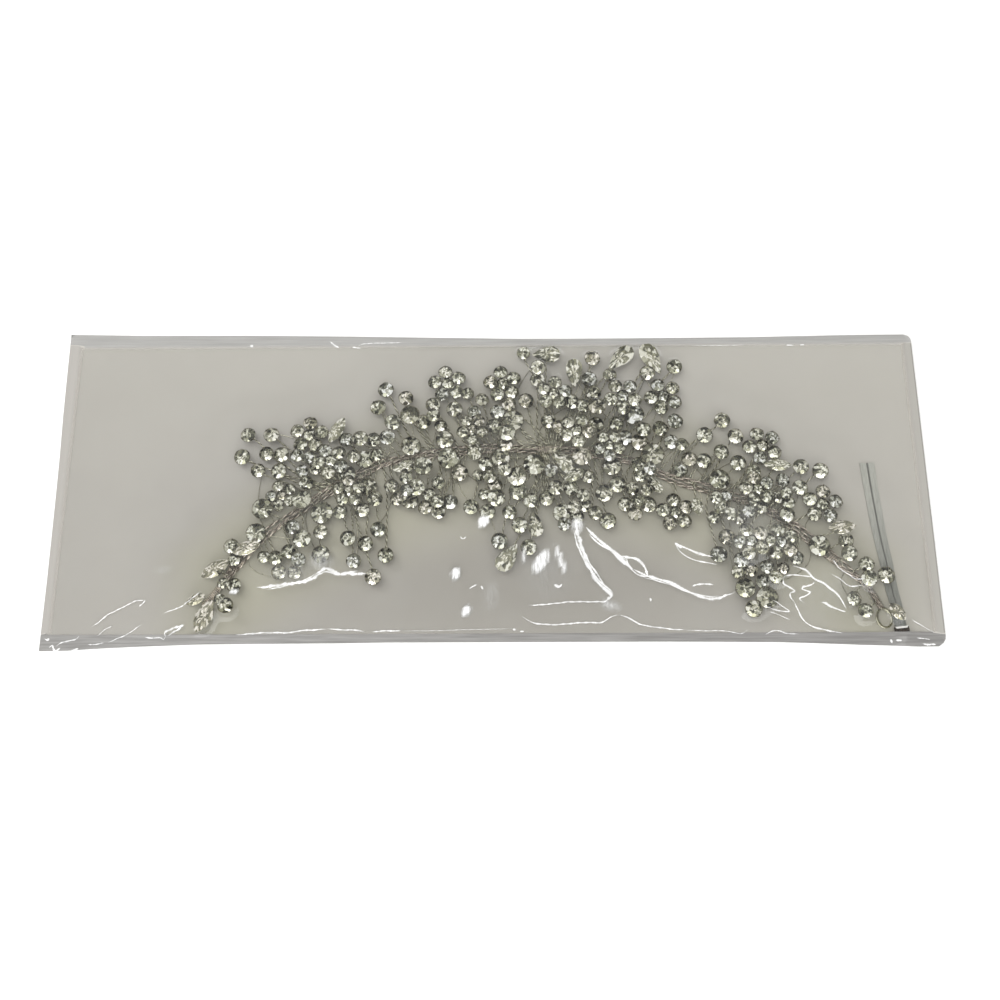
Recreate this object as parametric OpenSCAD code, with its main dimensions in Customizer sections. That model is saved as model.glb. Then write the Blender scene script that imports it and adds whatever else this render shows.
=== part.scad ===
// A rhinestone hair vine lying on its display card, inside a clear sleeve.
// Millimetres, +Z up. The origin is the middle of the sleeve's flat underside, which rests on the table.
// +X runs along the card to the ribbon's end, +Y runs to the card's back edge.

/* [Card and sleeve] */
// Length of the card
card_l = 400; // [398:0.5:401]
// Depth of the card, front to back
card_w = 140; // [138.5:0.5:141]
// Thickness of the card
card_t = 0.8; // [0.6:0.1:1]
// How far the sleeve reaches past each end of the card
sleeve_end = 3; // [2.5:0.5:5]
// How far the sleeve reaches past the front and the back of the card
sleeve_side = 6; // [5:0.5:8]
// Thickness of the clear film
film_t = 0.2; // [0.15:0.05:0.3]
// Height of the sleeve where it lies over the tallest stones
sleeve_h = 16; // [16:0.2:18]

/* [Wires] */
// Thickness of one strand of the twisted stem
strand_d = 1.3; // [1:0.1:1.5]
// How far the strands weave to each side
weave = 0.35; // [0:0.05:0.4]
// Thickness of the wire stalk under a stone
stalk_d = 0.9; // [0.6:0.1:1]
// Thickness of the wire of the end loop
loop_d = 1.2; // [0.8:0.1:1.4]

/* [Stones] */
// Tallest that a stone and its cup may be
stone_h = 2.7; // [2.2:0.1:2.7]
// Height of a small stone and its cup, as a share of its width
stone_share = 0.46; // [0.36:0.02:0.48]
// Height of the widest line of a stone, as a share of its height
girdle_share = 0.57; // [0.5:0.01:0.62]
// Width of a stone's flat table, as a share of the stone's width
table_share = 0.55; // [0.45:0.05:0.65]
// Lean of a stone: degrees times its width in millimetres
lean_by_width = 50; // [0:5:50]

/* [Ribbon] */
// Width of the ribbon
ribbon_w = 6; // [5:0.2:6.6]
// Thickness of the doubled ribbon
ribbon_t = 0.4; // [0.2:0.1:0.4]

/* [Hidden] */
// Heights: the film's floor, the card, the wires, then layers of stones
card_z = film_t + 0.1;
card_top = card_z + card_t;
wire_z = card_top + 1.1;
joint_z = wire_z + 0.6;
stone_lift = 2.4;
stone_z = card_top + stone_lift;
layer_h = 3.6;
plate_t = 0.4;
foot_gap = 0.12;
// What shows of a stone lies this far over its foot
seen_h = 2;
ribbon_z = card_top + 0.1;

// The stones are charted as one eye sees them from above, on a level 5 mm over the card.
// A stone that stands higher than that level really lies a little nearer to the spot under the eye.
eye = [8, -134, 458];
chart_h = 5;

// Clear space that a thing needs beside its neighbours, or it goes one layer up
side_gap = 0.3;

// Round stones on their own stalks, by the part of the vine: x, y, width
SINGLES_LEFT = [
    [-117.8, -30.5, 6.2], [-115.6, 12, 6.6], [-115.5, -48.5, 6], [-113.5, 22.8, 6.2],
    [-107.8, 5.4, 6], [-104.4, 13.5, 6], [-102.6, 22.8, 6.4], [-98.2, 5, 6.4], [-97.5, -36, 6],
    [-97.4, 13, 6.4], [-95.6, -42.6, 6], [-91.6, -33, 6], [-90.6, -21.6, 6.2], [-87, -37, 6],
    [-86, -27, 7.4], [-85.3, -0.8, 6], [-77.5, -24, 6], [-77, -34.4, 7.4], [-69, -14.6, 6],
    [-67.5, 20.2, 6.2], [-66.6, 3.4, 7.4], [-65, -27, 6.4], [-62, -37.6, 6], [-61, 20.8, 6.6],
    [-59, -13.6, 6.2], [-58.6, 10.6, 7.4], [-57, -29.6, 6.4], [-56.6, -2.6, 7.4], [-54.6, 20.2, 6],
    [-53.3, -8.4, 6.4], [-53, 36.2, 6.6], [-53, -45, 6.6], [-51.4, -23, 6.4], [-49.6, 45, 6.6],
    [-48.3, 21.3, 6.6], [-47.6, -35, 6.4], [-46, 28.8, 6.6], [-45.8, -2.4, 6]];
SINGLES_MIDDLE = [
    [-40, 40.8, 6.2], [-37, -9.6, 6.8], [-34.2, -3, 7], [-31.6, 28.8, 6.2], [-30, -12.6, 6],
    [-27.2, 37.4, 6.2], [-27, 32.2, 5.6], [-24.6, -9.6, 5.8], [-24, -14.8, 6], [-21.5, 20, 7.6],
    [-18.6, -10, 6.4], [-17, 35, 6.6], [-14.4, 3.8, 7], [-9, -12.6, 6.4], [-7.8, 33.6, 5.8],
    [-2.4, 8, 6.2], [-1.4, -14.8, 6.4], [1.4, 26.6, 6.6], [1.9, -2.2, 6], [2.6, -8.2, 7.4],
    [3, 33.6, 6.2], [4, -28.6, 6.8], [4.6, 11, 7.6], [6.6, 17.6, 6.4], [7.6, 23.4, 7], [8.6, 37.4, 6],
    [8.6, -15.2, 6], [12.6, -5, 7.6], [13.2, -21.2, 6.6], [15.6, 63.4, 5.6], [16.6, 39.2, 6.6],
    [17.2, -31.6, 6.6], [18.4, -9.6, 6.4], [22.2, 49.6, 6.4], [22.6, 56, 6.4], [25.6, -8.4, 6.6],
    [27, 29, 6.4], [28, 4.8, 6], [30, -3.4, 6.4], [32.4, 26, 6], [32.6, -15.4, 7.4], [37, -4, 6.2],
    [38.2, 38.6, 6.2], [43.2, -12, 5.8], [43.6, 36.6, 6.2], [44.8, 1.8, 6], [46.6, 49.8, 6.6],
    [47.8, -15.6, 5.8], [48.4, 60.6, 6.6], [48.6, 42.6, 6.2], [49.2, 27, 6.6], [50, 36.4, 7.4],
    [52, -6.2, 7.4], [53.4, -19.4, 6.8], [56.4, 51.8, 5.8], [58.4, -2, 7], [58.6, 27.6, 6.2]];
SINGLES_RIGHT = [
    [61.6, -11.6, 6.2], [62.5, 20.5, 6.6], [66, -16, 6], [68.4, 7.4, 6.2], [69.4, 18.4, 7.2],
    [71.4, 24.6, 6.4], [72.2, -11.8, 6.6], [74.2, 52.9, 6.4], [79.2, 25, 6.6], [84, 18.4, 6.2],
    [86.3, 28.6, 6.6], [87.2, 56, 6.4], [87.6, 4.6, 6], [92, 10, 6.4], [98.8, 9, 6.4],
    [99.6, 21.6, 6.8], [103, -35.2, 6.8], [105.4, -12.8, 5.8], [107, -27.2, 6.6], [107, 13.4, 6.4],
    [108.2, 28.8, 6.6], [111.4, -43.2, 5.8], [113, -37.8, 6.2], [113.6, -18.2, 5.8], [114, 21, 6.6],
    [114.4, 8, 6.6], [117, -60, 6.8], [118, -15, 5.8], [121.2, 3.8, 5.8], [122, -47.6, 5.8],
    [123.4, -13, 6.2], [124.4, -41, 5.8], [128, -45.6, 5.8], [134.4, -0.4, 5.8], [135.2, -17, 6.4],
    [138, -37, 5.6], [142, -4, 6.4], [143.2, 6, 6.4], [152, 4, 6.6], [160.8, -29, 6],
    [161.8, -35, 6.4], [162, -55.6, 6], [166.6, -61, 6], [169, -40, 6.2], [169.6, -46.4, 6.4],
    [177.4, -45, 6.8]];

// Flowers, by the part of the vine: x, y, radius of the ring of petals, width of a petal, turn in degrees
FLOWERS_LEFT = [
    [-96.4, -6.6, 4.9, 4.8, 40], [-85, 22.5, 6, 5.8, 15], [-74.5, 10, 5.6, 5.6, 45],
    [-65.5, -4.5, 5, 5, 20]];
FLOWERS_MIDDLE = [
    [-20.5, 48, 6, 5.8, 28], [-8.5, 25.5, 5, 5, 54], [5.7, 47.8, 6, 5.8, 28], [29.8, 43, 5.6, 5.6, 12],
    [40.2, 24.5, 5.6, 5.4, 62], [55.2, 17, 5, 5, 54]];
FLOWERS_RIGHT = [
    [62.2, 41.4, 6, 5.8, 52], [81.4, 41.2, 6, 5.8, 42], [84.4, -15.4, 5.8, 5.8, 25],
    [118.2, -29, 5.6, 5.6, 39], [122.6, -4.4, 5.4, 5.6, 32], [126.3, 16.3, 6.2, 5.8, 40],
    [131.4, -29.4, 5.6, 5.6, 28], [151.7, -12, 6.2, 5.8, 12]];
petals = 5;
// Width of the middle stone of a flower, as a share of a petal's
middle_share = 0.92;

// Boat-shaped stones: x, y, length, width, direction of a tip in degrees
NAVETTES = [
    [-127.9, -62.4, 14.5, 7.4, 67], [-124.4, -41, 13, 6.4, 33], [-111, -31.4, 12, 5.8, 20],
    [-72, 25, 13, 5.6, 62], [-39.6, 7.2, 11, 5.2, 17], [38.6, 2.6, 10, 5.2, 30],
    [75.6, -2.4, 9.5, 5, 130], [94.6, -12.6, 8, 5, 100], [132.6, 7, 12, 5.4, 0],
    [159.6, -22.8, 12, 6, 8], [180.7, -61.5, 9, 5.4, 130], [-132.4, -54.8, 8.6, 4.6, 27]];

// Pear-shaped stones: x, y, length, width, direction of the tip in degrees
DROPS = [
    [-7.7, 15.6, 10.5, 6.6, 90], [7.8, -36, 14, 8, 56], [20.4, -20.8, 11, 6.6, 95],
    [26.4, 62.6, 12.5, 8, 180], [34.6, 8.8, 12.5, 8, 140], [39.6, 53, 13.5, 7.6, 270],
    [61.6, 60.4, 14.5, 8, 223], [76.6, 60, 15.5, 8.6, 298]];

// Large round stones: x, y, width
LARGE = [
    [-107, -24.4, 8], [-104.8, -13, 8.4], [-87, -8.6, 8], [-77.4, -15, 9], [-38, 32.4, 8],
    [-37.2, 17, 8.2], [-31.4, 7.4, 7.8], [-19.7, 11, 9], [10.4, 29.4, 9], [12, 2, 8], [20.2, 7.8, 9.2],
    [42.3, 11.6, 8], [55.8, 6.8, 8], [67, 32, 8.6], [75.2, 12.4, 9.4], [105.4, 0, 8.6],
    [114, -50.6, 8], [123.4, -55, 8.6], [148.6, -31.4, 8.6]];

// The stem's route from the left end to the end loop: x, y
STEM = [
    [-128, -58], [-122, -50], [-115, -39], [-107, -30], [-98, -22], [-89, -15], [-80, -8], [-70, -2],
    [-60, 3], [-50, 8], [-38, 11], [-25, 13.5], [-10, 14.5], [5, 15], [20, 15], [35, 14], [48, 12.5],
    [60, 10], [72, 6], [82, 1.5], [92, -2], [102, -5.5], [112, -9], [122, -12.5], [131, -17], [140, -24],
    [149, -33], [157, -40.5], [165, -47], [170, -53], [173.5, -60]];
// How far apart the three strands of the stem lie
strand_step = strand_d + 0.15;
// A single stone farther from the stem than this has a stalk of its own
far_off = 34;

// The ribbon's route on the card, from its cut end to the crimp: x, y
RIBBON = [
    [175.3, 9], [176, -3], [176.9, -15], [178, -27], [179.5, -38.5], [180.5, -49], [182, -58.5],
    [183, -67.5]];
// The crimp: its length, its height and how far it reaches past each edge of the ribbon
crimp_l = 2.6;
crimp_h = 1.4;
crimp_over = 0.2;

// The end loop: middle, half width, half length, turn in degrees
LOOP = [175.5, -63.9, 3.2, 4.3, 8];
loop_z = card_top + 1.4;
loop_steps = 14;

// Shape of the sleeve's top across it: distance from the middle line, share of the height
ACROSS = [[0, 1], [19, 1], [45, 0.86], [60, 0.6], [69, 0.42], [72, 0.26], [76, 0.01], [90, 0]];
// Shape of the sleeve's top along it: x, share of the height
ALONG = [
    [-203, 0.01], [-198, 0.3], [-185, 0.34], [-152, 0.55], [-138, 0.86], [-120, 0.96], [-80, 1], [-30, 0.98],
    [20, 1], [70, 0.98], [120, 1], [164, 0.96], [188, 0.85], [198, 0.42], [203, 0.12]];

// Outlines, anticlockwise round the middle of the stone
function round_outline(d, n) = [for (i = [0:n - 1]) let (a = 360 * (i + 0.5) / n) d / 2 * [cos(a), sin(a)]];
function navette_outline(l, w, n) = [for (i = [0:n - 1]) let (a = 360 * i / n)
    [l / 2 * cos(a), w / 2 * sign(sin(a)) * pow(abs(sin(a)), 1.6)]];
function drop_outline(l, w, n) = [for (i = [0:n - 1]) let (a = 360 * i / n)
    [l / 2 * cos(a), w / 2 * sin(a) * sin(a / 2) / 0.77]];

// Discs that cover each thing, seen from above: x, y, radius. The first disc is over the thing's stalk.
function round_discs(s) = [[s[0], s[1], s[2] / 2]];
function petal_way(f, k) = f[4] + 360 * k / petals;
function petal_disc(f, k) = let (way = petal_way(f, k))
    [f[0] + f[2] * cos(way), f[1] + f[2] * sin(way), f[3] / 2];
function flower_discs(f) = concat([[f[0], f[1], f[3] * middle_share / 2]],
    [for (k = [0:petals - 1]) petal_disc(f, k)]);
function long_disc(s, along, r) = [s[0] + along * cos(s[4]), s[1] + along * sin(s[4]), r];
function navette_discs(s) = [for (u = [0, -1, -0.5, 0.5, 1])
    long_disc(s, u * (s[2] / 2 - 0.6), max(0.6, s[3] / 2 * pow(1 - u * u, 0.8) + 0.2))];
function drop_discs(s) = [for (u = [0.25, 0, 0.5, 0.75, 1])
    long_disc(s, (s[3] - s[2]) / 2 + u * (s[2] - s[3] / 2 - 0.6), (1 - u) * s[3] / 2 + u * 0.5)];

SINGLES = concat(SINGLES_LEFT, SINGLES_MIDDLE, SINGLES_RIGHT);
FLOWERS = concat(FLOWERS_LEFT, FLOWERS_MIDDLE, FLOWERS_RIGHT);
// Where each kind begins in the list of all things
first_middle_single = len(SINGLES_LEFT);
last_middle_single = first_middle_single + len(SINGLES_MIDDLE) - 1;
first_right_single = last_middle_single + 1;
last_single = len(SINGLES) - 1;
first_flower = last_single + 1;
first_middle_flower = first_flower + len(FLOWERS_LEFT);
first_right_flower = first_middle_flower + len(FLOWERS_MIDDLE);
first_navette = first_flower + len(FLOWERS);
first_drop = first_navette + len(NAVETTES);
first_large = first_drop + len(DROPS);
THINGS = concat([for (s = SINGLES) round_discs(s)], [for (f = FLOWERS) flower_discs(f)],
    [for (s = NAVETTES) navette_discs(s)], [for (s = DROPS) drop_discs(s)], [for (s = LARGE) round_discs(s)]);

// Each thing goes in the lowest layer where it is clear of all that is there already
near_reach = 26;
function near(a, b) = norm([a[0][0] - b[0][0], a[0][1] - b[0][1]]) < near_reach;
function flat_gap(p, q) = norm([p[0] - q[0], p[1] - q[1]]) - p[2] - q[2];
function meets(a, b) = near(a, b) && min([for (p = a, q = b) flat_gap(p, q)]) < side_gap;
function lowest_free(used, n = 0) = search(n, used) == [] ? n : lowest_free(used, n + 1);
function layer_of(i, done) = lowest_free([for (j = [0:1:i - 1]) if (meets(THINGS[i], THINGS[j])) done[j]]);
function layers(i = 0, done = []) =
    i == len(THINGS) ? done : layers(i + 1, concat(done, [layer_of(i, done)]));
LAYER = layers();

// The real place of a charted point of thing i
function stone_level(i) = stone_lift + layer_h * LAYER[i] + seen_h;
function nearer(p, h) = [p[0], p[1]] + (h - chart_h) / (eye[2] - chart_h) * [eye[0] - p[0], eye[1] - p[1]];
function place(p, i) = nearer(p, stone_level(i));

// Repeatable odd numbers from 0 to 1, which vary the leans
function odd(i, k) = let (v = 997 * sin(47 * i + 31 * k)) v - floor(v);
function height(w) = min(stone_h, stone_share * w);

// A cut stone in its cup: a point below, the widest line, bevelled facets and a flat table
module cut_stone(outline, h) {
    n = len(outline);
    girdle = girdle_share * h;
    points = concat([[0, 0, 0]], [for (p = outline) [p[0], p[1], girdle]],
        [for (p = outline) [table_share * p[0], table_share * p[1], h]]);
    below = [for (i = [0:n - 1]) [0, 1 + i, 1 + (i + 1) % n]];
    bevel = [for (i = [0:n - 1]) [1 + n + i, 1 + n + (i + 1) % n, 1 + (i + 1) % n, 1 + i]];
    table = [[for (i = [n:-1:1]) n + i]];
    polyhedron(points, concat(below, bevel, table));
}

// Stands a stone of thing i over a charted point, leaning about the middle of its widest line
module stand(i, p, h, lean, way) {
    at = place(p, i);
    girdle = girdle_share * h;
    color([0.86, 0.87, 0.88])
        translate([at[0], at[1], stone_z + layer_h * LAYER[i] + foot_gap + girdle])
            rotate([0, 0, way])
                rotate([0, lean, 0])
                    rotate([0, 0, -way])
                        translate([0, 0, -girdle])
                            children();
}

// Sides of a small round stone and of a large one
small_sides = 8;
large_sides = 10;
module round_stone(i, p, w, sides, lean, way) {
    stand(i, p, height(w), lean, way)
        cut_stone(round_outline(w, sides), height(w));
}

module single_stones(first, last) {
    for (i = [first:last]) {
        s = SINGLES[i];
        round_stone(i, s, s[2], small_sides, lean_by_width / s[2] * (0.3 + 0.7 * odd(i, 1)), 360 * odd(i, 2));
    }
}

module flowers(first, last) {
    for (i = [first:last]) {
        f = FLOWERS[i - first_flower];
        round_stone(i, f, f[3] * middle_share, small_sides, 0, 0);
        for (k = [0:petals - 1])
            round_stone(i, petal_disc(f, k), f[3], small_sides, lean_by_width / f[3], petal_way(f, k));
    }
}

// Points round the outline of a long stone, and its lean in degrees
long_sides = 12;
long_lean = 3;
module navette(k) {
    s = NAVETTES[k];
    stand(first_navette + k, s, height(s[3]), long_lean, s[4])
        rotate(s[4])
            cut_stone(navette_outline(s[2], s[3], long_sides), height(s[3]));
}

module drop(k) {
    s = DROPS[k];
    stand(first_drop + k, s, height(s[3]), long_lean, s[4])
        rotate(s[4])
            cut_stone(drop_outline(s[2], s[3], long_sides), height(s[3]));
}

module large_stone(k) {
    i = first_large + k;
    s = LARGE[k];
    round_stone(i, s, s[2], large_sides, lean_by_width / s[2] * odd(i, 1), 360 * odd(i, 2));
}

// A ring of a round wire: p is its middle, side and up are across the wire
function unit(v) = v / norm(v);
function side_of(t) = unit([t[1], -t[0], 0]);
function ring(p, side, up, r, n) = [for (i = [0:n - 1]) let (a = 360 * i / n + 90)
    p + r * (cos(a) * side + sin(a) * up)];
function wire_ring(p, t, r, n) = ring(p, side_of(t), cross(side_of(t), unit(t)), r, n);

// The walls between rings that follow each other, all with n points
function walls(m, n) = [for (j = [0:m - 2], i = [0:n - 1]) let (a = j * n + i, b = j * n + (i + 1) % n)
    each [[a, b, b + n], [a, b + n, a + n]]];

// A tube with closed ends
module tube(rings) {
    n = len(rings[0]);
    m = len(rings);
    ends = [[for (i = [n - 1:-1:0]) i], [for (i = [0:n - 1]) (m - 1) * n + i]];
    polyhedron([for (r = rings) each r], concat(walls(m, n), ends));
}

// The way that a list of points runs at its point k
function run(path, k) = path[min(k + 1, len(path) - 1)] - path[max(k - 1, 0)];
// The stem's points as they really lie, at the height of the wires, and the three strands side by side
STEM_REAL = [for (p = STEM) let (q = nearer(p, wire_z - card_top)) [q[0], q[1], wire_z]];
function lane_offset(k, lane) = lane * strand_step + weave * cos(180 * k);
function lane_point(k, lane) = STEM_REAL[k] + lane_offset(k, lane) * side_of(run(STEM_REAL, k));
module strand(lane) {
    path = [for (k = [0:len(STEM) - 1]) lane_point(k, lane)];
    tube([for (k = [0:len(path) - 1]) wire_ring(path[k], run(path, k), strand_d / 2, 5)]);
}

// A drop of solder that joins the strands
module solder(p) {
    translate(p - [0, 0, strand_d / 2])
        cylinder(h = strand_d, r = strand_step + strand_d / 2, $fn = 10);
}

// The joints of the wires: the points of the two outer strands first, then one under each thing
STRAND_POINTS = [for (lane = [-1, 1], k = [0:len(STEM) - 1]) lane_point(k, lane)];
first_joint = len(STRAND_POINTS);
function joint_under(i) = let (p = place(THINGS[i][0], i)) [p[0], p[1], joint_z];
JOINTS = concat(STRAND_POINTS, [for (i = [0:len(THINGS) - 1]) joint_under(i)]);
function flat_dist(p, q) = norm([p[0] - q[0], p[1] - q[1]]);
function off_stem(p) = min([for (q = STEM_REAL) flat_dist(p, q)]);
OFF_STEM = [for (j = [0:len(JOINTS) - 1]) j < first_joint ? 0 : off_stem(JOINTS[j])];

// Flowers, long stones, large stones and the single stones far from the stem have their stalks here
function has_stalk(j) = j < first_joint || j >= first_joint + first_flower || OFF_STEM[j] > far_off;
// A stalk leaves the nearest joint that is closer to the stem
function reach(i) = [for (j = [0:len(JOINTS) - 1])
    has_stalk(j) && OFF_STEM[j] < max(0.1, OFF_STEM[i] - 1) ? flat_dist(JOINTS[i], JOINTS[j]) : 1000];
function parent(i) = let (gaps = reach(i)) search(min(gaps), gaps)[0];

// The stalk of thing i, and the post that carries it where it is in a higher layer
module stalk(i) {
    end = JOINTS[first_joint + i];
    from = JOINTS[parent(first_joint + i)];
    r = stalk_d / 2;
    top = stone_z + layer_h * LAYER[i] - plate_t / 2;
    hull()
        tube([wire_ring(from, end - from, r, 5), wire_ring(end, end - from, r, 5)]);
    if (LAYER[i] > 0)
        translate([end[0], end[1], end[2] - r / 2])
            cylinder(h = top - end[2] + r / 2, r = 0.9 * r, $fn = 5);
}

// The flat star of wire that carries the petals of flower i: its arms end past the middles of the petals
arm_over = 0.9;
star_middle = 1.1;
module petal_star(i) {
    f = FLOWERS[i - first_flower];
    at = place(f, i);
    translate([at[0], at[1], stone_z + layer_h * LAYER[i] - plate_t])
        rotate(f[4])
            linear_extrude(plate_t)
                polygon([for (k = [0:2 * petals - 1]) let (a = 180 * k / petals)
                    (k % 2 == 0 ? f[2] + arm_over : star_middle) * [cos(a), sin(a)]]);
}

// The oval loop at the stem's end
module end_loop() {
    n = loop_steps;
    turn = LOOP[4];
    path = [for (k = [0:n - 1]) let (a = 360 * k / n, x = LOOP[2] * cos(a), y = LOOP[3] * sin(a))
        [LOOP[0] + x * cos(turn) - y * sin(turn), LOOP[1] + x * sin(turn) + y * cos(turn), loop_z]];
    ways = [for (k = [0:n - 1]) path[(k + 1) % n] - path[(k + n - 1) % n]];
    rings = [for (k = [0:n - 1]) wire_ring(path[k], ways[k], loop_d / 2, 6)];
    points = [for (r = rings) each r];
    polyhedron(points, [for (w = walls(n + 1, 6)) [for (v = w) v % len(points)]]);
}

module wire_frame() {
    color([0.66, 0.55, 0.48]) {
        for (lane = [-1:1])
            strand(lane);
        solder(STEM_REAL[0]);
        solder(STEM_REAL[len(STEM) - 1]);
        for (i = [0:len(THINGS) - 1])
            if (has_stalk(first_joint + i))
                stalk(i);
        for (i = [first_flower:first_navette - 1])
            petal_star(i);
        end_loop();
    }
}

module card() {
    color([0.75, 0.73, 0.69])
        translate([-card_l / 2, -card_w / 2, card_z])
            cube([card_l, card_w, card_t]);
}

// The clear sleeve: a bag of thin film, closed at its left end and open at its right end
sleeve_y = card_w / 2 + sleeve_side;
sleeve_x = card_l / 2 + sleeve_end;
// Height of the sleeve's flat rim, and how thick its closed end and its sides are
rim_h = 0.5;
end_wall = 1.5;
side_wall = 1;
function top_z(x, y) = rim_h + (sleeve_h - rim_h) * lookup(x, ALONG) * lookup(abs(y), ACROSS);
function bag_ring(x, half, floor_z, drop) = concat(
    [for (u = [-1, -0.947, -0.908, -0.79, -0.59, -0.25, 0.25, 0.59, 0.79, 0.908, 0.947, 1])
        [x, u * half, top_z(x, u * half) - drop]],
    [[x, half, floor_z], [x, -half, floor_z]]);
function bag_x(k) = max(-sleeve_x, min(sleeve_x, ALONG[k][0]));
module sleeve() {
    m = len(ALONG);
    outer = [for (k = [0:m - 1]) bag_ring(bag_x(k), sleeve_y, 0, 0)];
    inner = [for (k = [0:m - 1])
        bag_ring(bag_x(k) + (k == 0 ? end_wall : 0), sleeve_y - side_wall, film_t, film_t)];
    n = len(outer[0]);
    inside = m * n;
    mouth = (m - 1) * n;
    outer_walls = walls(m, n);
    inner_walls = [for (w = outer_walls) [w[2] + inside, w[1] + inside, w[0] + inside]];
    rim = [for (i = [0:n - 1]) let (a = mouth + i, b = mouth + (i + 1) % n)
        each [[a, b, b + inside], [a, b + inside, a + inside]]];
    ends = [[for (i = [n - 1:-1:0]) i], [for (i = [0:n - 1]) inside + i]];
    color([0.85, 0.9, 0.95, 0.35])
        polyhedron([for (r = concat(outer, inner)) each r], concat(outer_walls, inner_walls, rim, ends));
}

// The ribbon: a flat strap with a bevelled edge
half_w = ribbon_w / 2;
edge = ribbon_t / 4;
STRAP = [
    [-half_w, edge], [-half_w, 3 * edge], [2 * edge - half_w, ribbon_t], [half_w - 2 * edge, ribbon_t],
    [half_w, 3 * edge], [half_w, edge], [half_w - 2 * edge, 0], [2 * edge - half_w, 0]];
function ribbon_ring(p, t) = [for (c = STRAP) [p[0], p[1], ribbon_z + c[1]] - c[0] * side_of(t)];
module ribbon() {
    color([0.62, 0.62, 0.6])
        tube([for (k = [0:len(RIBBON) - 1]) ribbon_ring(RIBBON[k], run(RIBBON, k))]);
}

// The folded metal crimp that closes the ribbon's end
module ribbon_crimp() {
    last = len(RIBBON) - 1;
    way = run(RIBBON, last);
    color([0.8, 0.79, 0.77])
        translate([RIBBON[last][0], RIBBON[last][1], ribbon_z])
            rotate(atan2(way[0], -way[1]))
                translate([-ribbon_w / 2 - crimp_over, -crimp_l, 0])
                    cube([ribbon_w + 2 * crimp_over, crimp_l, crimp_h]);
}

FIELDS = ["flowers_left", "flowers_middle", "flowers_right", "single_stones_left", "single_stones_middle",
    "single_stones_right"];

card();
sleeve();
wire_frame();
ribbon();
ribbon_crimp();
flowers(first_flower, first_middle_flower - 1);  // flowers_left
flowers(first_middle_flower, first_right_flower - 1);  // flowers_middle
flowers(first_right_flower, first_navette - 1);  // flowers_right
single_stones(0, first_middle_single - 1);  // single_stones_left
single_stones(first_middle_single, last_middle_single);  // single_stones_middle
single_stones(first_right_single, last_single);  // single_stones_right
for (k = [1:len(NAVETTES)])
    navette(k - 1);
for (k = [1:len(DROPS)])
    drop(k - 1);
for (k = [1:len(LARGE)])
    large_stone(k - 1);
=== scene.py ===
# %% [markdown]
# # A rhinestone hair vine on its card, in a clear sleeve
# The vine is a bundle of thin rose-gold wires that carries hundreds of foil-backed cut stones. It lies on
# a plain board with a narrow ribbon beside it, and a clear, crumpled plastic bag holds all of it. The
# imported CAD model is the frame: it says where each stone stands, how it leans and how large it is. Here
# each plain solid is dressed as the real thing. Lengths are metres, +Z is up, +X runs to the ribbon's end
# of the card, and +Y runs to the card's back edge.

# %% Load the frame
import math

import bpy
import numpy as np
from mathutils import Matrix, Vector


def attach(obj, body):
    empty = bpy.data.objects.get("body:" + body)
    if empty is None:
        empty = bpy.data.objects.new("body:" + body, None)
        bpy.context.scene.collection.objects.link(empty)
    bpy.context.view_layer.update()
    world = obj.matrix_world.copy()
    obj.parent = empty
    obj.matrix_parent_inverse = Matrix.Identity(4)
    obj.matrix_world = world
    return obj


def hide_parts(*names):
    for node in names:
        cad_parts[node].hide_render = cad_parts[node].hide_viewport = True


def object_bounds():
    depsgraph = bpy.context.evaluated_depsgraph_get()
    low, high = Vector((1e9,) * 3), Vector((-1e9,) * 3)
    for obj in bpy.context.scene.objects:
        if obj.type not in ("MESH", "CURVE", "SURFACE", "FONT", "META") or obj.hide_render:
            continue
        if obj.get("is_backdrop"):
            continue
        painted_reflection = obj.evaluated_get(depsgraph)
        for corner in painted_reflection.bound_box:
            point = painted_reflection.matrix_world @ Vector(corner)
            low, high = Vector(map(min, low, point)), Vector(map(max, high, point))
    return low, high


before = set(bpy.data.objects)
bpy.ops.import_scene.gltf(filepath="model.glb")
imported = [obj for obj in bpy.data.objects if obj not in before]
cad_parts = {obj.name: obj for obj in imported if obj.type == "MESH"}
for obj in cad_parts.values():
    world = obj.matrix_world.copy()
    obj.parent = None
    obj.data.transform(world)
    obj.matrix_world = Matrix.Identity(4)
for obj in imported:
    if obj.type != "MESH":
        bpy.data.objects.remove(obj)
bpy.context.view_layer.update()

scene = bpy.context.scene
MM = 0.001

# %% [markdown]
# ## The camera
# The photograph was taken by hand from above the card's front edge. A camera can be placed by eye, or
# worked out from the four corners of a thing of known size. The card is such a thing, and its corners give
# the place, the turn and the lens.

# %% The camera
CAMERA_AT = Vector((7.855, -134.299, 459.341)) * MM
CAMERA_AZIMUTH, CAMERA_ELEVATION, CAMERA_ROLL = map(math.radians, (1.649, 74.59, -1.848))
FOCAL_PIXELS, PICTURE_PIXELS, SENSOR = 1025.729, 1000, 36

def camera_turn(azimuth, elevation, roll):
    """The camera's own axes as columns: to its right, upwards and backwards. Angles are in radians."""
    flat = math.cos(elevation)
    back = Vector((math.sin(azimuth) * flat, -math.cos(azimuth) * flat, math.sin(elevation)))
    right = Vector((0, 0, 1)).cross(back).normalized()
    up = back.cross(right)
    level = math.cos(roll) * right + math.sin(roll) * up
    tall = math.cos(roll) * up - math.sin(roll) * right
    return Matrix((level, tall, back)).transposed()

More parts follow.
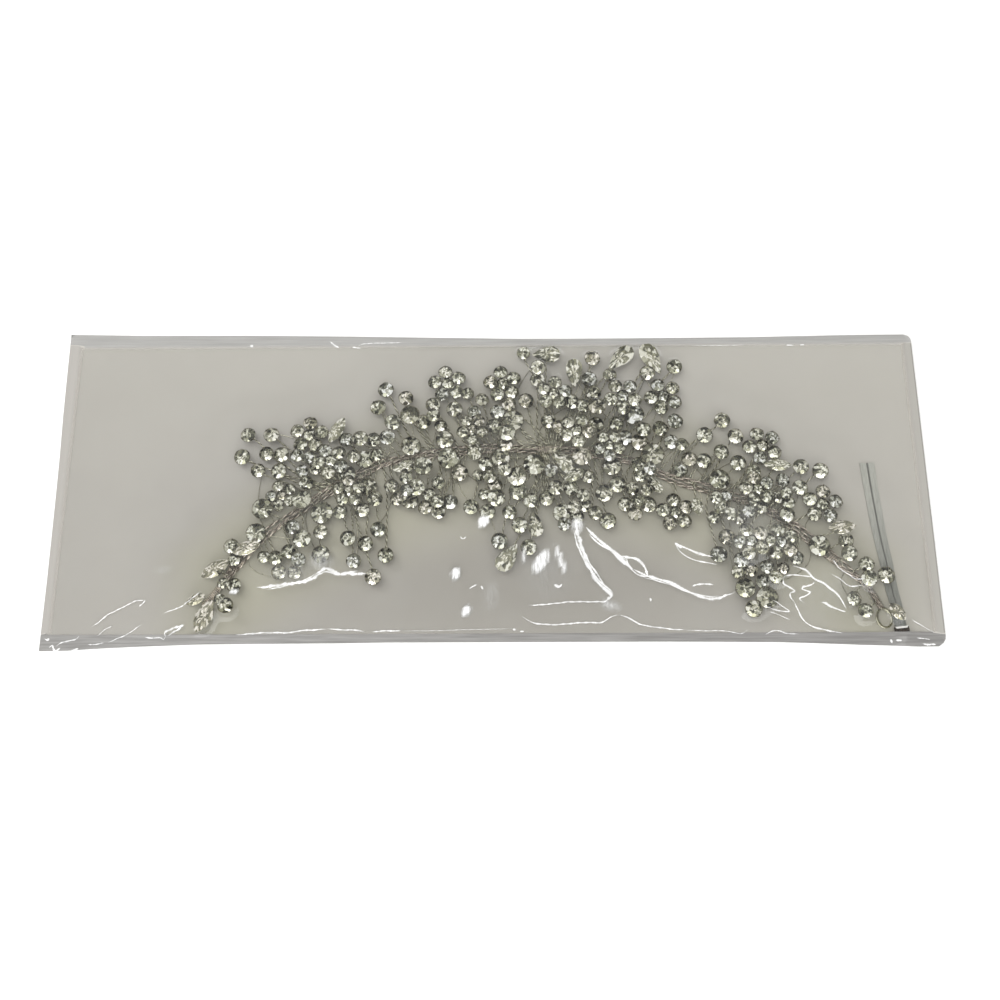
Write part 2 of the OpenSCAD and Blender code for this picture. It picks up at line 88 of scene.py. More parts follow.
camera = bpy.data.objects.new("camera", bpy.data.cameras.new("camera"))
scene.collection.objects.link(camera)
camera_axes = camera_turn(CAMERA_AZIMUTH, CAMERA_ELEVATION, CAMERA_ROLL)
camera.matrix_world = Matrix.Translation(CAMERA_AT) @ camera_axes.to_4x4()
camera.data.sensor_width = SENSOR
camera.data.lens = FOCAL_PIXELS / PICTURE_PIXELS * SENSOR
camera.data.clip_start, camera.data.clip_end = 0.01, 20
scene.camera = camera
print("camera lens", round(camera.data.lens, 2), "mm")

# %% [markdown]
# ## Helpers for pieces
# Every finished piece rides on the one body, `root`, and may stand for one or more CAD nodes. An operator
# acts on all that is selected, so each step starts by selecting only what it needs.

# %% Helpers for pieces
def only(*objects):
    """Selects these objects and no others, in object mode. The last one becomes the active one."""
    if bpy.context.object and bpy.context.object.mode != "OBJECT":
        bpy.ops.object.mode_set(mode="OBJECT")
    bpy.ops.object.select_all(action="DESELECT")
    for o in objects:
        o.select_set(True)
        bpy.context.view_layer.objects.active = o

def settle(piece, stands_for=()):
    """Puts a finished piece on the body and hides the CAD nodes that it stands for."""
    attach(piece, "root")
    if stands_for:
        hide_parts(*stands_for)
    piece.data.calc_loop_triangles()
    print(piece.name, len(piece.data.loop_triangles), "triangles")
    return piece

def mesh_piece(name, points, faces, materials, material_of=None):
    """A new object made of points and faces. material_of gives the number of each face's material."""
    mesh = bpy.data.meshes.new(name)
    mesh.from_pydata([tuple(p) for p in points], [], faces)
    for m in materials:
        mesh.materials.append(m)
    if material_of is not None:
        mesh.polygons.foreach_set("material_index", material_of)
    mesh.update()
    piece = bpy.data.objects.new(name, mesh)
    scene.collection.objects.link(piece)
    return piece

def keep_values(piece, name, domain, values):
    """Stores one number for each point or face of a piece, for its material to read."""
    kept = piece.data.attributes.new(name, "FLOAT", domain)
    kept.data.foreach_set("value", np.asarray(values, dtype=np.float32))

# %% [markdown]
# ## Helpers for finishes
# A finish is a small network of nodes round one Principled shader. Uneven tone turns up in almost every
# one of them, so it is a node group, built once: cloudy noise at a chosen size, stretched between a low
# and a high value.

# %% Helpers for finishes
def group_sockets(group, inputs, outputs):
    """Gives a node group its sockets, each with a name, a type and a first value."""
    for kind, wanted in (("INPUT", inputs), ("OUTPUT", outputs)):
        for name, socket_type, value in wanted:
            socket = group.interface.new_socket(name, in_out=kind, socket_type=socket_type)
            if value is not None:
                socket.default_value = value

cloudy = bpy.data.node_groups.new("cloudy", "ShaderNodeTree")
group_sockets(
    cloudy,
    [("Stretch", "NodeSocketVector", (1, 1, 1)), ("Scale", "NodeSocketFloat", 100),
     ("Detail", "NodeSocketFloat", 3), ("Low", "NodeSocketFloat", 0), ("High", "NodeSocketFloat", 1)],
    [("Value", "NodeSocketFloat", None)])
inside, outside = cloudy.nodes.new("NodeGroupInput"), cloudy.nodes.new("NodeGroupOutput")
place, stretch = cloudy.nodes.new("ShaderNodeTexCoord"), cloudy.nodes.new("ShaderNodeVectorMath")
noise, spread = cloudy.nodes.new("ShaderNodeTexNoise"), cloudy.nodes.new("ShaderNodeMapRange")
stretch.operation = "MULTIPLY"
spread.inputs["From Min"].default_value, spread.inputs["From Max"].default_value = 0.3, 0.7
for start, end in (
        (place.outputs["Object"], stretch.inputs[0]), (inside.outputs["Stretch"], stretch.inputs[1]),
        (stretch.outputs[0], noise.inputs["Vector"]), (inside.outputs["Scale"], noise.inputs["Scale"]),
        (inside.outputs["Detail"], noise.inputs["Detail"]), (noise.outputs["Fac"], spread.inputs["Value"]),
        (inside.outputs["Low"], spread.inputs["To Min"]), (inside.outputs["High"], spread.inputs["To Max"]),
        (spread.outputs["Result"], outside.inputs["Value"])):
    cloudy.links.new(start, end)

class Finish:
    """A material that is being built: its nodes, its links and its Principled shader."""
    def __init__(self, name, roughness=0.5, metallic=0.0):
        self.material = bpy.data.materials.new(name)
        self.material.use_nodes = True
        self.tree = self.material.node_tree
        self.skin = self.tree.nodes["Principled BSDF"]
        self.skin.inputs["Roughness"].default_value = roughness
        self.skin.inputs["Metallic"].default_value = metallic

    def add(self, kind, **settings):
        node = self.tree.nodes.new(kind)
        for key, value in settings.items():
            setattr(node, key, value)
        return node

    def join(self, start, end):
        self.tree.links.new(start, end)
        return end

    def cloud(self, scale, low, high, detail=3, stretch=(1, 1, 1)):
        """Cloudy noise of a scale, stretched between a low and a high value."""
        node = self.add("ShaderNodeGroup", node_tree=cloudy)
        settings = {"Scale": scale, "Low": low, "High": high, "Detail": detail, "Stretch": stretch}
        for key, value in settings.items():
            node.inputs[key].default_value = value
        return node.outputs["Value"]

    def spread(self, value, start, end, low=0.0, high=1.0, **settings):
        """Carries a value that runs from start to end over to one that runs from low to high."""
        node = self.add("ShaderNodeMapRange", **settings)
        for key, number in (("From Min", start), ("From Max", end), ("To Min", low), ("To Max", high)):
            node.inputs[key].default_value = number
        self.join(value, node.inputs["Value"])
        return node.outputs[0]

    def place(self):
        """The spot on the object, and its X and Y apart, in metres."""
        spot = self.add("ShaderNodeTexCoord").outputs["Object"]
        parts = self.add("ShaderNodeSeparateXYZ")
        self.join(spot, parts.inputs[0])
        return spot, parts.outputs["X"], parts.outputs["Y"]

    def values(self, name):
        """The numbers that keep_values stored under this name."""
        return self.add("ShaderNodeAttribute", attribute_name=name).outputs["Fac"]

    def sum(self, operation, a, b, limits=True):
        """Arithmetic with two values or sockets. With limits the result stays between 0 and 1."""
        node = self.add("ShaderNodeMath", operation=operation, use_clamp=limits)
        for value, socket in ((a, node.inputs[0]), (b, node.inputs[1])):
            if isinstance(value, (int, float)):
                socket.default_value = value
            else:
                self.join(value, socket)
        return node.outputs[0]

    def between(self, factor, dark, light):
        """A colour between two others."""
        node = self.add("ShaderNodeMix", data_type="RGBA")
        self.join(factor, node.inputs[0])
        for value, socket in ((dark, node.inputs[6]), (light, node.inputs[7])):
            if isinstance(value, tuple):
                socket.default_value = (*value, 1)
            else:
                self.join(value, socket)
        return node.outputs[2]

    def bump(self, height, strength, distance):
        """Fine relief on the surface, as deep as distance says, in metres."""
        node = self.add("ShaderNodeBump")
        node.inputs["Strength"].default_value, node.inputs["Distance"].default_value = strength, distance
        self.join(height, node.inputs["Height"])
        self.join(node.outputs["Normal"], self.skin.inputs["Normal"])

# %% [markdown]
# ## The ribbon
# A narrow translucent ribbon lies beside the vine. Two bands of it lie side by side, so a dark line runs
# down its middle, and a folded metal crimp closes its lower end. It could be a flat curve, but the groove
# shows best as a section with its own bevels, carried along the route. The route's points are the same as
# in the CAD source.

# %% The satin finish
RIBBON_LONG = 11.0
satin = Finish("satin_ribbon", roughness=0.42)
weave_place = satin.add("ShaderNodeUVMap", uv_map="weave").outputs[0]
across = satin.add("ShaderNodeSeparateXYZ")
satin.join(weave_place, across.inputs[0])
off_middle = satin.sum("ABSOLUTE", across.outputs["X"], 0, limits=False)
off_groove = satin.spread(off_middle, 0.03, 0.10, interpolation_type="SMOOTHSTEP")
upward = satin.spread(across.outputs["Y"], 0.0, RIBBON_LONG)
weft = satin.add("ShaderNodeTexWave", bands_direction="Y")
weft.inputs["Scale"].default_value = 900
satin.join(weave_place, weft.inputs["Vector"])
lengthwise = satin.cloud(260, 0.0, 1.0, stretch=(6, 1, 1))
low_tone = satin.between(lengthwise, (0.090, 0.095, 0.083), (0.135, 0.140, 0.123))
high_tone = satin.between(lengthwise, (0.270, 0.275, 0.245), (0.360, 0.360, 0.325))
band_tone = satin.between(upward, low_tone, high_tone)
satin.join(satin.between(off_groove, (0.085, 0.085, 0.075), band_tone), satin.skin.inputs["Base Color"])
satin.bump(weft.outputs["Fac"], 0.15, 0.00004)
satin.skin.inputs["Sheen Weight"].default_value = 0.3

# %% The ribbon
RIBBON_ROUTE = [
    (175.3, 9), (176, -3), (176.9, -15), (178, -27), (179.5, -38.5), (180.5, -49), (182, -58.5), (183, -67.5)]
RIBBON_WIDTH, RIBBON_Z, RIBBON_STEP = 6.0, 1.2, 1.5
RIBBON_SECTION = [
    (-3.0, 0.10), (-2.95, 0.30), (-2.7, 0.36), (-0.35, 0.40), (-0.08, 0.16), (0.08, 0.16),
    (0.35, 0.36), (2.7, 0.33), (2.95, 0.28), (3.0, 0.10), (2.7, 0.02), (-2.7, 0.02)]

def smooth_line(points, step):
    """The same line with close, even points, on one smooth curve through all of them."""
    p = np.array(points, dtype=float)
    p = np.vstack([2 * p[0] - p[1], p, 2 * p[-1] - p[-2]])
    out = []
    for a, b, c, d in zip(p[:-3], p[1:-2], p[2:-1], p[3:]):
        n = max(1, int(round(np.linalg.norm(c - b) / step)))
        for t in np.arange(n) / n:
            bend, twist_in = 2 * a - 5 * b + 4 * c - d, 3 * b - a - 3 * c + d
            out.append(0.5 * (2 * b + (c - a) * t + bend * t ** 2 + twist_in * t ** 3))
    return np.array(out + [p[-2]])

def sides_along(line):
    """For each point of a line, the level direction to its right and the way it runs."""
    run = np.gradient(line, axis=0)
    run /= np.maximum(np.linalg.norm(run, axis=1), 1e-9)[:, None]
    side = np.stack([run[:, 1], -run[:, 0], 0 * run[:, 0]], axis=1)
    flat = np.linalg.norm(side, axis=1)
    side[flat < 0.05] = (1, 0, 0)
    return side / np.maximum(np.linalg.norm(side, axis=1), 1e-9)[:, None], run

def tube_faces(first, rings, n):
    """The faces of a closed tube of rings of n points each, with a cap at both ends."""
    faces = []
    for k in range(rings - 1):
        a = first + k * n
        faces += [(a + i, a + (i + 1) % n, a + n + (i + 1) % n, a + n + i) for i in range(n)]
    last = first + (rings - 1) * n
    return faces + [tuple(first + i for i in range(n - 1, -1, -1)), tuple(last + i for i in range(n))]

def outward_and_smooth(piece, angle):
    """Turns all faces outward and shades the piece smooth, but for edges sharper than the angle."""
    only(piece)
    bpy.ops.object.mode_set(mode="EDIT")
    bpy.ops.mesh.select_all(action="SELECT")
    bpy.ops.mesh.normals_make_consistent(inside=False)
    bpy.ops.object.mode_set(mode="OBJECT")
    bpy.ops.object.shade_smooth_by_angle(angle=math.radians(angle))

ribbon_line = smooth_line([(x, y, RIBBON_Z) for x, y in reversed(RIBBON_ROUTE)], RIBBON_STEP)
ribbon_side, _ = sides_along(ribbon_line)
ribbon_points = []
for k, (p, s) in enumerate(zip(ribbon_line, ribbon_side)):
    lift = 0.04 * math.sin(0.9 * k) ** 2
    spread_out = 0.88 + 0.26 * k / len(ribbon_line)
    ribbon_points += [
        (p + x * spread_out * s + (0, 0, z + lift * abs(x) / 3)) * MM for x, z in RIBBON_SECTION]
ribbon_faces = tube_faces(0, len(ribbon_line), len(RIBBON_SECTION))
ribbon = mesh_piece("ribbon_satin", ribbon_points, ribbon_faces, [satin.material])
weave = ribbon.data.uv_layers.new(name="weave")
for loop in ribbon.data.loops:
    ring, i = divmod(loop.vertex_index, len(RIBBON_SECTION))
    weave.data[loop.index].uv = (RIBBON_SECTION[i][0] / RIBBON_WIDTH, ring * RIBBON_STEP / RIBBON_WIDTH)
outward_and_smooth(ribbon, 35)
ribbon_length = float(np.linalg.norm(np.diff(ribbon_line, axis=0), axis=1).sum()) * MM
settle(ribbon, ["ribbon"])
print("ribbon length", round(ribbon_length, 4))

# %% [markdown]
# ## The crimp
# The crimp is a strip of plated steel folded over the ribbon's end and squeezed shut. Its back edge has a
# painted highlight, a bright line, and the rest of it is dark tarnish deepened with painted shade. It
# starts as a cube of its size. Its mouth is inset and pushed in, its top is dented, and its edges are
# bevelled, as the bend of a sheet would be. The faces next to its back edge keep a value for the painted
# highlight.

# %% The crimp
plated = Finish("plated_crimp", roughness=0.25, metallic=1.0)
# Dark tarnish deepened with painted shade, and a painted highlight on the faces along the back edge.
tarnish_and_shade = plated.between(plated.cloud(900, 0, 1), (0.012, 0.008, 0.006), (0.060, 0.045, 0.035))
painted_fold_highlight = plated.between(plated.values("highlight_band"), tarnish_and_shade, (0.96, 0.95, 0.93))
plated.join(painted_fold_highlight, plated.skin.inputs["Base Color"])
plated.join(plated.cloud(1500, 0.15, 0.4, stretch=(1, 6, 1)), plated.skin.inputs["Roughness"])
CRIMP_SIZE, CRIMP_MOUTH, CRIMP_HIGHLIGHT_BAND = (6.4, 2.6, 1.4), 1.6, 0.75
CRIMP_WALL, CRIMP_BEND, DENT_MARGIN, DENT_DEPTH = 0.35, 0.16, 0.9, 0.12
(before_x, before_y), (end_x, end_y) = RIBBON_ROUTE[-2:]
crimp_turn = math.atan2(end_x - before_x, -(end_y - before_y))
only()
bpy.ops.mesh.primitive_cube_add(size=1)
crimp = bpy.context.object
crimp.name = crimp.data.name = "crimp_folded"
crimp.data.transform(Matrix.Diagonal((*[v * MM for v in CRIMP_SIZE], 1)))

def select_faces(piece, wanted):
    """Selects the faces of a piece in edit mode for which wanted(centre, normal) is true."""
    bpy.ops.object.mode_set(mode="OBJECT")
    for v in piece.data.vertices:
        v.select = False
    for e in piece.data.edges:
        e.select = False
    for f in piece.data.polygons:
        f.select = bool(wanted(f.center, f.normal))
    bpy.ops.object.mode_set(mode="EDIT")
    bpy.ops.mesh.select_mode(type="FACE")

bpy.ops.object.mode_set(mode="EDIT")
select_faces(crimp, lambda c, normal: normal.y < -0.9)
bpy.ops.mesh.inset(thickness=CRIMP_WALL * MM)
bpy.ops.mesh.extrude_region_move(TRANSFORM_OT_translate={"value": (0, CRIMP_MOUTH * MM, 0)})
select_faces(crimp, lambda c, normal: normal.z > 0.9 and c.z > 0.4 * CRIMP_SIZE[2] * MM)
bpy.ops.mesh.inset(thickness=DENT_MARGIN * MM)
bpy.ops.transform.translate(value=(0, 0, -DENT_DEPTH * MM))
bpy.ops.object.mode_set(mode="OBJECT")
bevel = crimp.modifiers.new("bend", "BEVEL")
bevel.width, bevel.segments, bevel.limit_method = CRIMP_BEND * MM, 3, "ANGLE"
bpy.ops.object.modifier_apply(modifier="bend")
bpy.ops.object.shade_smooth_by_angle(angle=math.radians(40))
ribbon_end = Vector((end_x, end_y, RIBBON_Z)) * MM
crimp.data.transform(
    Matrix.Translation(ribbon_end) @ Matrix.Rotation(crimp_turn, 4, "Z")
    @ Matrix.Translation(Vector((0, -CRIMP_SIZE[1] / 2, CRIMP_SIZE[2] / 2)) * MM))
crimp.data.materials.append(plated.material)
in_highlight_band = [f.center.y > ribbon_end.y - CRIMP_HIGHLIGHT_BAND * MM for f in crimp.data.polygons]
keep_values(crimp, "highlight_band", "FACE", in_highlight_band)
settle(crimp, ["ribbon_crimp"])

# %% [markdown]
# ## The stones' places
# Each CAD stone is one closed solid: a point below, a widest line and a flat table. A node's mesh is loose
# triangles, so its points are merged by place and sorted into islands. An island's flattest direction is
# the stone's axis, its longest direction is where a boat or a pear points, and its extent gives the width
# and the height.

# %% The stones' places
def islands(node_name):
    """The points of each separate solid of a CAD node, one array for each solid."""
    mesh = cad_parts[node_name].data
    points = np.empty(3 * len(mesh.vertices))
    mesh.vertices.foreach_get("co", points)
    points = points.reshape(-1, 3)
    in_microns = np.round(points * 1e6).astype(np.int64)
    _, first, same = np.unique(in_microns, axis=0, return_index=True, return_inverse=True)
    owner = list(range(len(first)))
    def root(i):
        while owner[i] != i:
            owner[i] = owner[owner[i]]
            i = owner[i]
        return i
    same = same.reshape(-1)
    for face in mesh.polygons:
        corners = [root(same[v]) for v in face.vertices]
        for c in corners[1:]:
            owner[root(c)] = root(corners[0])
    groups = {}
    for i, f in enumerate(first):
        groups.setdefault(root(i), []).append(points[f])
    return [np.array(g) for g in groups.values()]

class Stone:
    """Where one stone stands: its foot, its axis, the way it points, its height and its half sizes."""
    def __init__(self, points, long=False):
        about = points - points.mean(axis=0)
        _, ways = np.linalg.eigh(about.T @ about)
        up = ways[:, 0] * np.sign(ways[2, 0])
        along = ways[:, 2] if long else np.cross(up, (0.0, 1.0, 0.0))
        along -= up * (along @ up)
        along /= np.linalg.norm(along)
        across = np.cross(up, along)
        if long and (about @ along) @ np.abs(about @ across) > 0:
            along, across = -along, -across
        heights = points @ up
        reach = np.stack([points @ along, points @ across], axis=1)
        middle = (reach.max(axis=0) + reach.min(axis=0)) / 2
        self.height = heights.max() - heights.min()
        self.half = (reach.max(axis=0) - reach.min(axis=0)) / 2
        if not long:
            self.half = np.full(2, np.linalg.norm(reach - middle, axis=1).max())
        self.foot = middle[0] * along + middle[1] * across + heights.min() * up
        self.up, self.along, self.across = up, along, across

    def placing(self):
        """The matrix that puts a template of half length 1, half width 1 and height 1 where the stone is."""
        return np.stack([self.along * self.half[0], self.across * self.half[1], self.up * self.height])

    def is_round(self):
        """Whether the stone is about as long as it is wide."""
        return self.half[0] / self.half[1] < 1.15

stones = {}
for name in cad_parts:
    if name.startswith(("flowers", "single_stones", "large_stone")):
        stones[name] = [Stone(p) for p in islands(name)]
    elif name.startswith(("navette", "drop")):
        stones[name] = [Stone(p, long=True) for p in islands(name)]
print("stones in the frame", sum(len(s) for s in stones.values()))

# %% [markdown]
# ## Finishes of a cut stone
# A rhinestone is a clear glass cut with flat facets whose underside is silvered with foil. Light goes in
# through the top, is thrown about by the foil and comes out again elsewhere, so each stone is a mosaic of
# very dark and very bright bits. Real glass over a mirror gives that too, but it needs very many samples
# and turns to fog without them. So the facets themselves are mirrors under a clear coat, and each one
# carries a painted reflection: the tone, from dark to bright, that the foil would show through it. Small
# cells of painted glints, laid round the stone's axis, break a facet's tone up, as the facets of the
# underside do when they are seen through it.

# %% Finishes of a cut stone
cut_glass = Finish("cut_glass", roughness=0.05, metallic=0.9)
cells = cut_glass.add("ShaderNodeTexVoronoi", voronoi_dimensions="2D")
cells.inputs["Scale"].default_value, cells.inputs["Randomness"].default_value = 1.0, 0.85
cut_glass.join(cut_glass.add("ShaderNodeUVMap", uv_map="cut").outputs[0], cells.inputs["Vector"])

def three_tones(value, first, middle_at, middle, last_at, last, steps=False):
    """A ramp of the cut glass from one colour through another to a third."""
    node = cut_glass.add("ShaderNodeValToRGB")
    ramp = node.color_ramp
    ramp.interpolation = "CONSTANT" if steps else "LINEAR"
    ramp.elements[0].color = (*first, 1)
    ramp.elements[1].position = last_at
    ramp.elements[1].color = (*last, 1)
    ramp.elements.new(middle_at).color = (*middle, 1)
    cut_glass.join(value, node.inputs["Fac"])
    return node.outputs["Color"]

# Painted glints: cells of black, grey and white laid over each facet's painted reflection.
painted_glints = three_tones(cells.outputs["Color"], (0, 0, 0), 0.50, (0.3, 0.3, 0.3), 0.62, (1, 1, 1), steps=True)
painted_sparkle = cut_glass.sum("MULTIPLY", painted_glints, 0.6)
painted_reflection = cut_glass.sum("ADD", cut_glass.sum("MULTIPLY", cut_glass.values("painted_tone"), 0.55), painted_sparkle)
painted_foil_reflection = three_tones(painted_reflection, (0.020, 0.020, 0.012), 0.45, (0.39, 0.39, 0.30), 1.0, (1.0, 1.0, 0.98))
tints = three_tones(
    cut_glass.values("tint"), (0.98, 0.985, 0.91), 0.5, (0.99, 0.95, 0.89), 1.0, (0.94, 0.97, 0.99))
tinted = cut_glass.add("ShaderNodeMix", data_type="RGBA", blend_type="MULTIPLY")
tinted.inputs[0].default_value = 1.0
cut_glass.join(painted_foil_reflection, tinted.inputs[6])
cut_glass.join(tints, tinted.inputs[7])
cut_glass.join(tinted.outputs[2], cut_glass.skin.inputs["Base Color"])
cut_glass.join(cut_glass.cloud(1800, 0.02, 0.12), cut_glass.skin.inputs["Roughness"])
cut_glass.skin.inputs["Coat Weight"].default_value = 0.3
cut_glass.skin.inputs["Coat Roughness"].default_value = 0.02
foil = Finish("silver_foil", roughness=0.15, metallic=1.0)
foil_tone = foil.between(foil.cloud(900, 0, 1), (0.45, 0.44, 0.40), (0.75, 0.74, 0.70))
foil.join(foil_tone, foil.skin.inputs["Base Color"])
foil.join(foil.cloud(1800, 0.10, 0.25), foil.skin.inputs["Roughness"])
cup_metal = Finish("cup_metal", roughness=0.3, metallic=1.0)
cup_tone = cup_metal.between(cup_metal.cloud(700, 0, 1), (0.05, 0.047, 0.030), (0.24, 0.22, 0.16))
cup_metal.join(cup_tone, cup_metal.skin.inputs["Base Color"])
cup_metal.join(cup_metal.cloud(1500, 0.2, 0.45), cup_metal.skin.inputs["Roughness"])

# %% [markdown]
# ## Cutting the stones
# A gem cutter grinds one flat facet after another. The bisect operator does the same: it cuts a solid by a
# plane and throws away what is outside. So a round stone starts as a drum and is ground to eight main
# facets, eight halves and eight stars round a flat table, and to a pointed underside. The boat and the
# pear are ground the same way, with one facet for each side of their outline. Only three stones are cut,
# and all others are copies.

# %% Cutting the stones
GIRDLE, CLAW_OUT, INSET_TABLE = 0.57, 0.965, 0.16
GLASS_SHARE, CUP_SHARE = 1.09, 1.17

def facet(azimuth, outer, low, inner, high):
    """Grinds one facet: it runs from height low at distance outer to height high at distance inner."""
    flat, rise = outer - inner, high - low
    side = Vector((math.cos(azimuth), math.sin(azimuth), 0))
    slope = side * abs(rise) + Vector((0, 0, math.copysign(flat, rise)))
    bpy.ops.mesh.select_all(action="SELECT")
    edge = side * outer + Vector((0, 0, low))
    bpy.ops.mesh.bisect(plane_co=edge, plane_no=slope.normalized(), use_fill=True, clear_outer=True)

def finish_cut(name):
    """Cleans the cut stone and divides its table, where the facets of the underside show as a star."""
    bpy.ops.mesh.select_all(action="SELECT")
    bpy.ops.mesh.remove_doubles(threshold=0.012)
    bpy.ops.mesh.dissolve_limited(angle_limit=math.radians(0.5))
    bpy.ops.mesh.normals_make_consistent(inside=False)
    cut = bpy.context.object
    select_faces(cut, lambda c, normal: normal.z > 0.999)
    bpy.ops.mesh.inset(thickness=INSET_TABLE)
    bpy.ops.mesh.poke()
    bpy.ops.object.mode_set(mode="OBJECT")
    cut.name = name
    print(name, "has", len(cut.data.polygons), "facets")
    return cut

def start_cut(sides):
    """The rough stone: a drum of radius 1 and height 1."""
    only()
    bpy.ops.mesh.primitive_cylinder_add(vertices=sides, radius=1, depth=1, location=(0, 0, 0.5))
    bpy.ops.object.transform_apply(location=True, rotation=True, scale=True)

TURN = math.tau / 16
start_cut(16)
bpy.ops.object.mode_set(mode="EDIT")
for k in range(8):
    main_way, half_way = 2 * k * TURN, (2 * k + 1) * TURN
    facet(main_way, 0.985, GIRDLE + 0.02, 0.56, 1.0)
    facet(half_way, 0.60, 0.965, 0.50, 1.01)
    facet(half_way, 0.985, GIRDLE + 0.02, 0.65, 0.99)
    facet(main_way, 0.985, GIRDLE - 0.03, 0.0, 0.02)
round_cut = finish_cut("round_cut")

def outline_cut(name, outline, sides, table):
    """A stone ground from an outline: one upper and one lower facet for each side, and stars between."""
    start_cut(sides)
    blank = bpy.context.object
    for v in blank.data.vertices:
        v.co.x, v.co.y = outline(math.atan2(v.co.y, v.co.x))
    ring = [Vector(outline(math.tau * k / sides)) for k in range(sides)]
    bpy.ops.object.mode_set(mode="EDIT")
    for a, b in zip(ring, ring[1:] + ring[:1]):
        run = b - a
        azimuth = math.atan2(-run.x, run.y)
        distance = a.x * math.cos(azimuth) + a.y * math.sin(azimuth)
        facet(azimuth, distance, GIRDLE + 0.03, table * distance, 1.0)
        facet(azimuth, distance, GIRDLE - 0.03, 0.12 * distance, 0.03)
    for a, b in zip(ring[::2], ring[2::2] + ring[:2]):
        azimuth = math.atan2(a.y, a.x)
        facet(azimuth, (table + 0.12) * a.length, 0.93, (table - 0.04) * a.length, 1.01)
    return finish_cut(name)

def boat_outline(angle):
    """A spot on the outline of a boat of half length 1."""
    return math.cos(angle), math.copysign(abs(math.sin(angle)) ** 1.6, math.sin(angle))

def pear_outline(angle):
    """A spot on the outline of a pear of half length 1, whose point is at angle 0."""
    return math.cos(angle), math.sin(angle) * math.sin((angle % math.tau) / 2) / 0.77

navette_cut = outline_cut("navette_cut", boat_outline, 12, 0.5)
drop_cut = outline_cut("drop_cut", pear_outline, 12, 0.52)

# %% [markdown]
# ## The cup
# Every stone sits in a small pressed cup with four claws bent over its edge. The cup starts as a cone
# without its point. Its top is inset, which leaves the rim, and the rest is pushed down inside. A claw is
# a small block drawn in at its top and leaned over the stone. It is made once and spun round to make four.

# %% The cup
CUP_SIDES, CUP_BASE, CUP_RIM, CUP_FLOOR, CUP_NARROW = 12, 0.34, 0.055, 0.06, 0.3
CLAW_SIZE, CLAW_BEND = (0.07, 0.17, 0.26), (-0.13, 0, 0.07)
only()
bpy.ops.mesh.primitive_cone_add(
    vertices=CUP_SIDES, radius1=CUP_BASE, radius2=1.0, depth=GIRDLE, location=(0, 0, GIRDLE / 2))
cup = bpy.context.object
bpy.ops.object.transform_apply(location=True)
bpy.ops.object.mode_set(mode="EDIT")
select_faces(cup, lambda c, normal: normal.z > 0.9)
bpy.ops.mesh.inset(thickness=CUP_RIM)
bpy.ops.mesh.extrude_region_move(TRANSFORM_OT_translate={"value": (0, 0, CUP_FLOOR - GIRDLE)})
bpy.ops.transform.resize(value=(CUP_NARROW, CUP_NARROW, 1))
bpy.ops.object.mode_set(mode="OBJECT")

def claw():
    """One claw on the cup's rim, drawn in at its top and bent over the stone."""
    only()
    bpy.ops.mesh.primitive_cube_add(size=1)
    made = bpy.context.object
    block = Matrix.Diagonal((*CLAW_SIZE, 1))
    made.data.transform(Matrix.Translation((CLAW_OUT, 0, GIRDLE + 0.04)) @ block)
    bpy.ops.object.mode_set(mode="EDIT")
    select_faces(made, lambda c, normal: normal.z > 0.9)
    bpy.ops.transform.resize(value=(0.75, 0.7, 1), center_override=(CLAW_OUT, 0, GIRDLE + 0.17))
    bpy.ops.mesh.extrude_region_move(TRANSFORM_OT_translate={"value": CLAW_BEND})
    bpy.ops.transform.resize(value=(0.6, 0.5, 0.6))
    bpy.ops.object.mode_set(mode="OBJECT")
    return made

claws = []
for k in range(4):
    one = claw()
    one.data.transform(Matrix.Rotation(math.tau * (k + 0.5) / 4, 4, "Z"))
    claws.append(one)
only(*claws, cup)
bpy.ops.object.join()
cup = bpy.context.object
cup.name = "cup"
print("cup has", len(cup.data.polygons), "faces")

# %% [markdown]
# ## Setting the stones
# A copy is the template's points, stretched and turned onto a stone's place. All copies that stand for one
# CAD node are one mesh. Each facet of the foil gets its own painted reflection, a tone from dark to
# bright, so that no two stones look alike.

# %% Setting the stones
chance = np.random.default_rng(7)

CELLS_ROUND, CELLS_OUT = 11, 2.4

class Template:
    """The points and faces of a cut stone or a cup, with each corner's place round the axis."""
    def __init__(self, made):
        self.points = np.array([v.co[:] for v in made.data.vertices])
        self.faces = [tuple(f.vertices) for f in made.data.polygons]
        self.down = np.array([f.normal.z for f in made.data.polygons])
        self.polar = []
        for f in made.data.polygons:
            centre = math.atan2(f.center.y, f.center.x)
            for x, y, _ in (self.points[v] for v in f.vertices):
                beyond = (math.atan2(y, x) - centre + math.pi) % math.tau - math.pi
                turns = (centre + beyond) / math.tau
                self.polar.append((turns * CELLS_ROUND, math.hypot(x, y) * CELLS_OUT))
        bpy.data.objects.remove(made)

ROUND, NAVETTE, DROP, CUP = (Template(t) for t in (round_cut, navette_cut, drop_cut, cup))

def copies(template, settings, share=1.0):
    """The points, the faces and, for each face, the number of its copy. Round ones get a turn by chance."""
    points, faces, owners = [], [], []
    for number, stone in enumerate(settings):
        turn = chance.uniform(0, math.tau) if stone.is_round() else 0.0
        c, s = math.cos(turn), math.sin(turn)
        local = template.points @ np.array([[c, s, 0], [-s, c, 0], [0, 0, 1]])
        local = local * (share, share, 1)
        start = len(points) * len(template.points)
        points.append(local @ stone.placing() + stone.foot)
        faces += [tuple(i + start for i in f) for f in template.faces]
        owners += [number] * len(template.faces)
    return np.concatenate(points), faces, np.array(owners)

